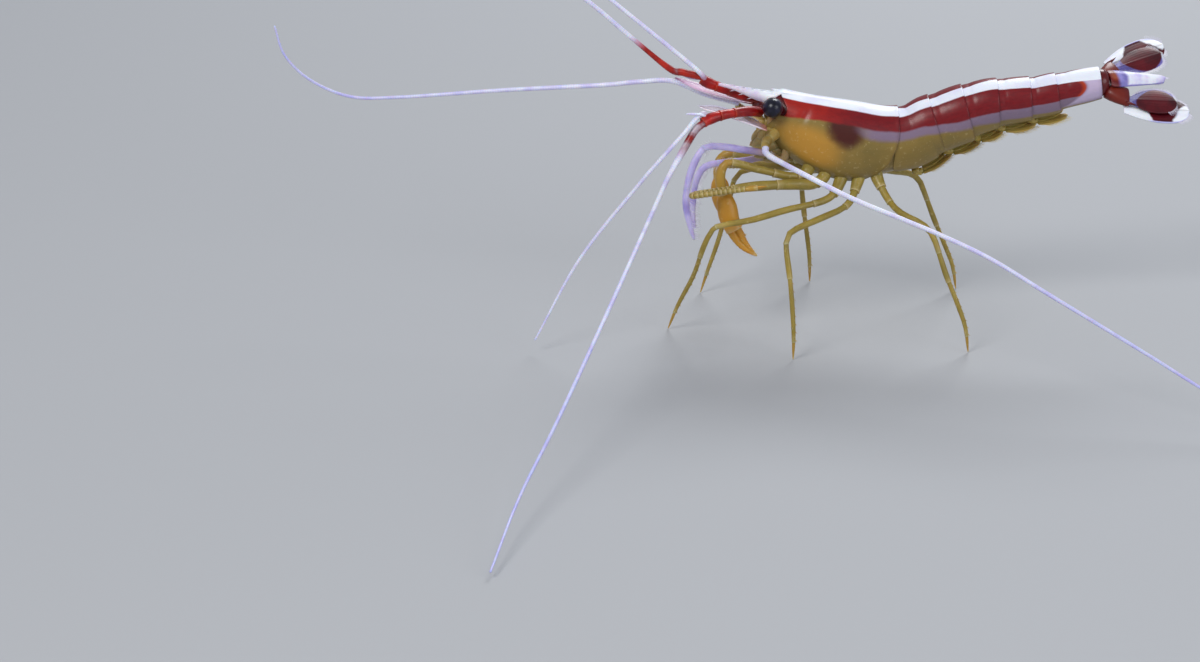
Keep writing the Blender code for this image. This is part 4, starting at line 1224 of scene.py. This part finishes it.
# Share of its length, half-width and half-thickness at each station.
FAN_BASE_PROFILE = [(-0.35, 0.0, 0.0), (-0.35, 0.7, 0.6), (0.0, 1.0, 0.85), (0.35, 1.18, 0.85),
                    (0.7, 1.32, 0.7), (0.95, 1.36, 0.55), (1.04, 1.26, 0.42), (1.08, 0.9, 0.25),
                    (1.08, 0.0, 0.0)]
# Each blade's root: how far back, out and up. Then its spread in degrees, its length, its full
# breadth, and the breadth of its root as a share of that.
FAN_BLADES = {
    ("outer", "left"): (1.0, 3.3, -0.75, 14.0, 7.6, 3.7, 0.34),
    ("outer", "right"): (1.2, 3.3, -0.75, 14.0, 7.9, 3.7, 0.34),
    ("inner", "left"): (1.3, 2.6, -0.05, 14.0, 6.0, 3.5, 0.15),
    ("inner", "right"): (1.5, 2.1, -0.05, 11.0, 6.6, 3.5, 0.15),
}
BLADE_WALLS = {"outer": 0.16, "inner": 0.14}
TAIL_END = 24.3

centre, spine, left, up = trunk_frame(TAIL_END)
hinge = centre + spine * 0.4
turn = Matrix.Rotation(math.radians(FAN_LEAN - read(LEAN, TAIL_END)), 3, spine)
turn = Matrix.Rotation(math.radians(FAN_YAW), 3, turn @ up) @ turn
turn = Matrix.Rotation(math.radians(FAN_PITCH), 3, turn @ left) @ turn
fan_along, fan_left, fan_up = turn @ spine, turn @ left, turn @ up
hinge -= fan_up * FAN_DROP


def blade_paint(name, outer):
    """The blade's pattern, read off the share along it and across it, -1 inside to 1 outside."""
    paint, shader, start = wet(name, 0.42, 0.1, 0.12)
    share, across, _ = place_of(start)
    waver = (speckle(start, 700) - 0.5) * 0.16
    cloud = speckle(start, 480)
    red = cloud.rise(0.3, 0.7).blend(colour(60, 2, 15), colour(94, 5, 19))
    white = cloud.rise(0.4, 0.75).blend(colour(246, 249, 255), colour(222, 222, 250))
    violet = cloud.rise(0.3, 0.7).blend(colour(100, 92, 168), colour(138, 130, 200))
    if outer:
        slant = share - across * 0.17 + waver
        mask = slant.rise(0.27, 0.32) * (1 - (share + across * 0.14 + waver).rise(0.83, 0.88))
        mask = mask * (1 - across.rise(0.93, 0.97))
        tone = mask.blend(white, red)
        inside = (1 - across.rise(-0.8, -0.55)) * (1 - slant.rise(0.2, 0.4))
        tone = (inside * 0.8).blend(tone, violet)
        rim = across.rise(0.88, 0.97) * share.rise(0.3, 0.5) * 0.6
        tone = rim.blend(tone, colour(150, 150, 232))
    else:
        oval_mask = ((share - 0.63) / 0.44) ** 2 + ((across - 0.45) / 1.48) ** 2 + waver * 0.6
        tone = oval_mask.rise(0.86, 1.06).blend(red, violet)
        tone = ((share - across * 0.06).rise(0.95, 0.99) * 0.7).blend(tone, white)
    rib = across * across
    tone = ((1 - rib.rise(0.0, 0.02)) * 0.25).blend(tone, colour(60, 4, 20))
    connect(tone, shader, "Base Color")
    if not outer:
        clear = oval_mask.rise(0.86, 1.1) * (1 - share.rise(0.4, 0.6))
        connect(1 - clear * 0.5, shader, "Alpha")
    ridges = start.math("SINE", across * 30) * 0.5 + 0.5
    relief(ridges * 0.6 + cloud * 0.4, shader, 0.012)
    return paint


def blade_half(share, on_outer_side, breadth, root_share):
    """Half the blade's width at a share of its length, on its outer or inner side."""
    widest = 0.62 if on_outer_side else 0.56
    if share > widest:
        return breadth / 2 * math.sqrt(max(1 - ((share - widest) / (1 - widest)) ** 2.6, 0.0))
    rise = math.sin(math.pi / 2 * share / widest)
    return breadth / 2 * (root_share + (1 - root_share) * rise ** (1.3 - root_share))


def lay_blade(kind, side, sign):
    """The lay of one blade: its flat, its rib and its slightly curled edges."""
    back, apart, height, spread, length, breadth, root_share = FAN_BLADES[kind, side]
    sweep = math.radians(spread)
    out = fan_left * -sign
    way = fan_along * math.cos(sweep) + out * math.sin(sweep)
    arm = out * math.cos(sweep) - fan_along * math.sin(sweep)
    root = hinge + fan_along * back + out * apart + fan_up * height

    def lay(share, across):
        half = blade_half(share, across > 0, breadth, root_share)
        lift = 0.04 * hump(across, 0.0, 0.10) * (1 - 0.6 * share)
        lift -= 0.24 * across * across
        lift += 0.08 * hump(across, 1.0, 0.12) * (kind == "outer")
        spot = root + way * length * share + arm * across * half + fan_up * lift
        return spot, (share, across, 0.0)

    return lay


blade_paints = {kind: blade_paint(f"{kind}_blade", kind == "outer") for kind in BLADE_WALLS}
for side, sign in SIDES.items():
    for kind, wall in BLADE_WALLS.items():
        blade = thin_blade(lay_blade(kind, side, sign), 56, 36)
        finish_piece(f"{kind}_blade_{side}", blade, blade_paints[kind],
                     [f"uropod_{kind}_{side}"], 0, wall)

base_red, base_red_shader, start = wet("fan_base", 0.4, 0.12, 0.15)
_, glow, _ = place_of(start)
cloud = speckle(start, 620)
tone = (cloud * 0.3 + glow * 0.35).blend(colour(86, 6, 18), colour(140, 50, 22))
lay_on(base_red_shader, tone, cloud, 0.04)
for side, sign in SIDES.items():
    out = fan_left * -sign
    sweep = math.radians(FAN_BASE["spread"])
    way = fan_along * math.cos(sweep) + out * math.sin(sweep)
    arm = fan_up.cross(way).normalized()
    root = hinge + out * FAN_BASE["out"] + fan_up * FAN_BASE["lift"]
    stations = []
    for share, wide, thick in FAN_BASE_PROFILE:
        spot = root + way * FAN_BASE["length"] * share + out * 0.5 * max(share, 0.0)
        stations.append((oval(arm * wide, fan_up * thick, way, spot),
                         (share, hump(share, 0.35, 0.5), 0.0)))
    base = bmesh.new()
    tube(base, stations, 26)
    spike(base, root + way * 1.3 + out * 1.5 + fan_up * 0.2, way * 1.3 + out * 0.4, 0.24,
          (1.0, 0.0, 0.0))
    finish_piece(f"fan_base_{side}", base, base_red, [f"uropod_base_{side}"])

telson_way = Matrix.Rotation(math.radians(TELSON_PITCH), 3, fan_left) @ fan_along
telson_up = fan_left.cross(telson_way).normalized()
telson_up = telson_up if telson_up.dot(fan_up) > 0 else -telson_up
telson_root = hinge + fan_up * TELSON_LIFT


def lay_telson(share, across):
    """The middle plate tapers to a blunt tip; its back is arched with a shallow groove."""
    half = TELSON_BREADTH / 2 * read(TELSON_HALF, share)
    half *= math.sqrt(max(1 - ease(0.93, 1.0, share) ** 2, 0.0)) if share > 0.93 else 1.0
    lift = 0.42 * (1 - across * across) - 0.08 * hump(across, 0.0, 0.4)
    spot = telson_root + telson_way * TELSON_LENGTH * share
    return spot + fan_left * -across * half + telson_up * lift, (share, across, 0.0)


telson_paint, telson_shader, start = wet("telson", 0.38, 0.2, 0.15)
share, across, _ = place_of(start)
cloud = speckle(start, 560)
side_way = across.math("ABSOLUTE", across)
violet = cloud.rise(0.3, 0.7).blend(colour(104, 96, 168), colour(150, 142, 208))
white = cloud.rise(0.35, 0.7).blend(colour(242, 244, 253), colour(206, 196, 240))
stripe = 1 - (side_way + (cloud - 0.5) * 0.3).rise(0.80, 0.96)
stripe = stripe * (share + side_way * 0.05).rise(0.29, 0.37)
tone = stripe.blend(violet, white)
from_root = start.math("ABSOLUTE", share - 0.1)
middle = (1 - side_way.rise(0.1, 0.7)) * (1 - from_root.rise(0.02, 0.12))
red_brown = middle.blend(colour(104, 12, 20), colour(150, 66, 28))
tone = (1 - share.rise(0.10, 0.18)).blend(tone, red_brown)
lay_on(telson_shader, tone, cloud, 0.03)
telson = thin_blade(lay_telson, 48, 28)
finish_piece("telson_plate", telson, telson_paint, ["telson"], 0, TELSON_WALL)


# ---- Bristles ----
# Fine stiff hairs fringe the fan blades, the feeler scales and the paddles, and stand in combs
# and tufts on the jaw-legs, claws and leg tips. Each is a thin tapered spike.
random.seed(7)
FAN_HAIR_STEP = 0.085
# Each fringe of a blade: its edge, -1 inside and 1 outside, where it starts, its length, its row.
FAN_FRINGES = [(-1.0, 0.12, 0.72, 0.0), (1.0, 0.8, 0.66, 0.15)]
EDGE_HAIR = 0.026
COMB_HAIR = 0.024
SHORT_HAIR = 0.022
FINE_HAIR = 0.018
TIP_SPINE = 0.035
BACK_SPINE = 0.05
FRINGE_STEPS = 400
BRISTLE_PATCH = 0.003
COMB_HAIRS = 150
HAND_HAIRS = 44
HAND_GIRTH = [(0, 0.8), (0.5, 0.72), (1, 0.15)]
LEG_HAIRS = 26
PADDLE_HAIRS = 60

bristle_paint, bristle_shader, start = wet("bristle", 0.5, 0.0, 0.0)
_, tone = mottle(start, 300, colour(248, 246, 254), colour(216, 208, 236), detail=1.0)
connect(tone, bristle_shader, "Base Color")
gold_bristle, gold_shader, start = wet("gold_bristle", 0.5, 0.0, 0.0)
_, tone = mottle(start, 300, colour(226, 210, 160), colour(190, 168, 112), detail=1.0)
connect(tone, gold_shader, "Base Color")


def patch_at(share, row):
    """Where a hair's patch lies on the map: by its share of the way along, and its row."""
    return 0.02 + 0.95 * share, row


def bristle(shape, root, way, wide, patch):
    """One hair from root along way. Its patch on the map OFBake tells how far along its edge or
    limb it stands, and in which row."""
    layer = shape.loops.layers.uv.get("OFBake") or shape.loops.layers.uv.new("OFBake")
    axis = way.normalized()
    look = axis.to_track_quat("Z", "Y").to_matrix().to_4x4()
    look.translation = at(root + way / 2)
    made = bmesh.ops.create_cone(shape, cap_ends=True, segments=3, radius1=wide * MM,
                                 radius2=wide * 0.2 * MM, depth=way.length * MM, matrix=look)
    faces = {face for vertex in made["verts"] for face in vertex.link_faces}
    for face in faces:
        for i, loop in enumerate(face.loops):
            loop[layer].uv = (patch[0] + BRISTLE_PATCH * (i % 2),
                              patch[1] + BRISTLE_PATCH * (i // 2))


def fringe(shape, lay, edge, spacing, length, sweep, band):
    """Hairs along an edge: edge(t) gives (share, across); sweep leans them to the tip."""
    marks = [edge(i / FRINGE_STEPS) for i in range(FRINGE_STEPS + 1)]
    spots = [lay(share, across)[0] for share, across in marks]
    inner = [lay(share, across * 0.9)[0] for share, across in marks]
    run, due = 0.0, 0.0
    for i in range(1, FRINGE_STEPS + 1):
        run += (spots[i] - spots[i - 1]).length
        while run >= due:
            outward = spots[i] - inner[i]
            ahead = spots[i] - spots[i - 1]
            if outward.length > 1e-6 and ahead.length > 1e-6:
                way = outward.normalized() + ahead.normalized() * sweep
                way = way.normalized() * length * random.uniform(0.85, 1.1)
                way += Vector([random.uniform(-0.05, 0.05) for _ in range(3)]) * length
                root = spots[i] - outward.normalized() * 0.04
                bristle(shape, root, way, EDGE_HAIR, patch_at(i / FRINGE_STEPS, band))
            due += spacing


def blade_edge(sign_across, first, last):
    """The edge of a blade from a share near the root to the tip, on one side."""
    return lambda t: (first + (last - first) * t, sign_across)


for side, sign in SIDES.items():
    fan_hair = bmesh.new()
    for kind, band in (("outer", 0.05), ("inner", 0.35)):
        lay = lay_blade(kind, side, sign)
        for across, first, length, row in FAN_FRINGES:
            fringe(fan_hair, lay, blade_edge(across, first, 0.995), spacing=FAN_HAIR_STEP,
                   length=length, sweep=0.9, band=band + row)
    finish_piece(f"fan_bristles_{side}", fan_hair, bristle_paint)

telson_hair = bmesh.new()
for across in (-1.0, 1.0):
    fringe(telson_hair, lay_telson, blade_edge(across, 0.80, 0.99), spacing=0.09, length=0.5,
           sweep=1.6, band=0.3)
for i in range(9):
    across = (i - 4) / 4 * 0.85
    tip, _ = lay_telson(0.985, across)
    long = 0.9 if abs(i - 4) in (1, 2) else 0.55
    bristle(telson_hair, tip, telson_way * long + fan_left * -across * 0.15, TIP_SPINE,
            (0.1 * i + 0.02, 0.6))
for share in (0.3, 0.66):
    for across in (-0.62, 0.62):
        spot, _ = lay_telson(share, across)
        bristle(telson_hair, spot, telson_way * 0.5 + telson_up * 0.12, BACK_SPINE,
                (share, 0.8))
finish_piece("telson_bristles", telson_hair, bristle_paint)

for side, sign in SIDES.items():
    scale_hair = bmesh.new()
    spine = track(SCALE_SPINES[side])

    def lay_scale_edge(share, across, spine=spine):
        """The inner edge of the feeler scale."""
        place, _, flat, half = scale_line(spine, share)
        return place + flat * across * half * round_off(share), (share, across, 0.0)

    fringe(scale_hair, lay_scale_edge, blade_edge(-float(sign), 0.1, 0.985), spacing=0.09,
           length=0.62, sweep=1.1, band=0.4)
    finish_piece(f"scale_bristles_{side}", scale_hair, bristle_paint)

    comb = bmesh.new()
    jaw_track = track(JAW_LEGS[side])
    whole = jaw_track[-1][0]
    for i in range(COMB_HAIRS):
        share = i / (COMB_HAIRS - 1)
        run = whole * (0.46 + 0.535 * share)
        place, along, cross, up = ride_track(jaw_track, run)
        inward = up if up.dot(Vector((1, 0, 0))) > 0 else -up
        wide = 0.42 * (1 - 0.6 * ease(0.8, 1.0, run / whole))
        lean = random.uniform(-0.5, 0.5)
        way = inward * random.uniform(0.5, 0.8) + cross * lean * 0.5 + along * 0.35
        root = place + inward * wide * 0.8 + cross * lean * 0.4
        bristle(comb, root, way, COMB_HAIR, patch_at(share, 0.3))
        if i % 3 == 0:
            away = along * 0.3 - inward * 0.32 + cross * lean * 0.6
            bristle(comb, place - inward * wide * 0.85, away, SHORT_HAIR, patch_at(share, 0.7))
    finish_piece(f"jaw_bristles_{side}", comb, bristle_paint)

    tufts = bmesh.new()
    hand_track = track(CLAW_HANDS[side])
    whole = hand_track[-1][0]
    for i in range(HAND_HAIRS):
        run = whole * random.uniform(0.5, 0.97)
        place, along, cross, up = ride_track(hand_track, run)
        around = random.uniform(0, 2 * math.pi)
        out = cross * math.cos(around) * 0.7 + up * math.sin(around)
        girth = read(HAND_GIRTH, run / whole)
        bristle(tufts, place + out * girth * 0.85, along * 0.35 + out * 0.3, COMB_HAIR,
                (0.02 + 0.02 * i, 0.2))
    for name, points in WALKING_LEGS.items():
        if not name.endswith(side):
            continue
        leg_track = track(points)
        leg_whole = leg_track[-1][0]
        for i in range(LEG_HAIRS):
            run = leg_whole * random.uniform(0.67, 0.95)
            place, along, cross, up = ride_track(leg_track, run)
            around = random.uniform(0, 2 * math.pi)
            out = cross * math.cos(around) + up * math.sin(around)
            bristle(tufts, place + out * 0.28, along * 0.3 + out * 0.16, FINE_HAIR,
                    (0.02 + 0.03 * i, 0.5))
    finish_piece(f"leg_bristles_{side}", tufts, gold_bristle)

    paddle_hair = bmesh.new()
    for number in PADDLES:
        root, reach, left, up, _ = paddle_seat(number, sign)
        out = -left * sign
        for i in range(PADDLE_HAIRS):
            share = 0.25 + 0.75 * i / (PADDLE_HAIRS - 1)
            spot, half = paddle_leaf(share, OUTER_LEAF, root, reach, out)
            spot += out * half - up * paddle_bow(share)
            way = reach.normalized() * 0.55 + out * random.uniform(0.15, 0.4)
            way -= up * random.uniform(0.0, 0.35)
            bristle(paddle_hair, spot, way, FINE_HAIR, patch_at(share, 0.15 * number))
    finish_piece(f"paddle_bristles_{side}", paddle_hair, gold_bristle)
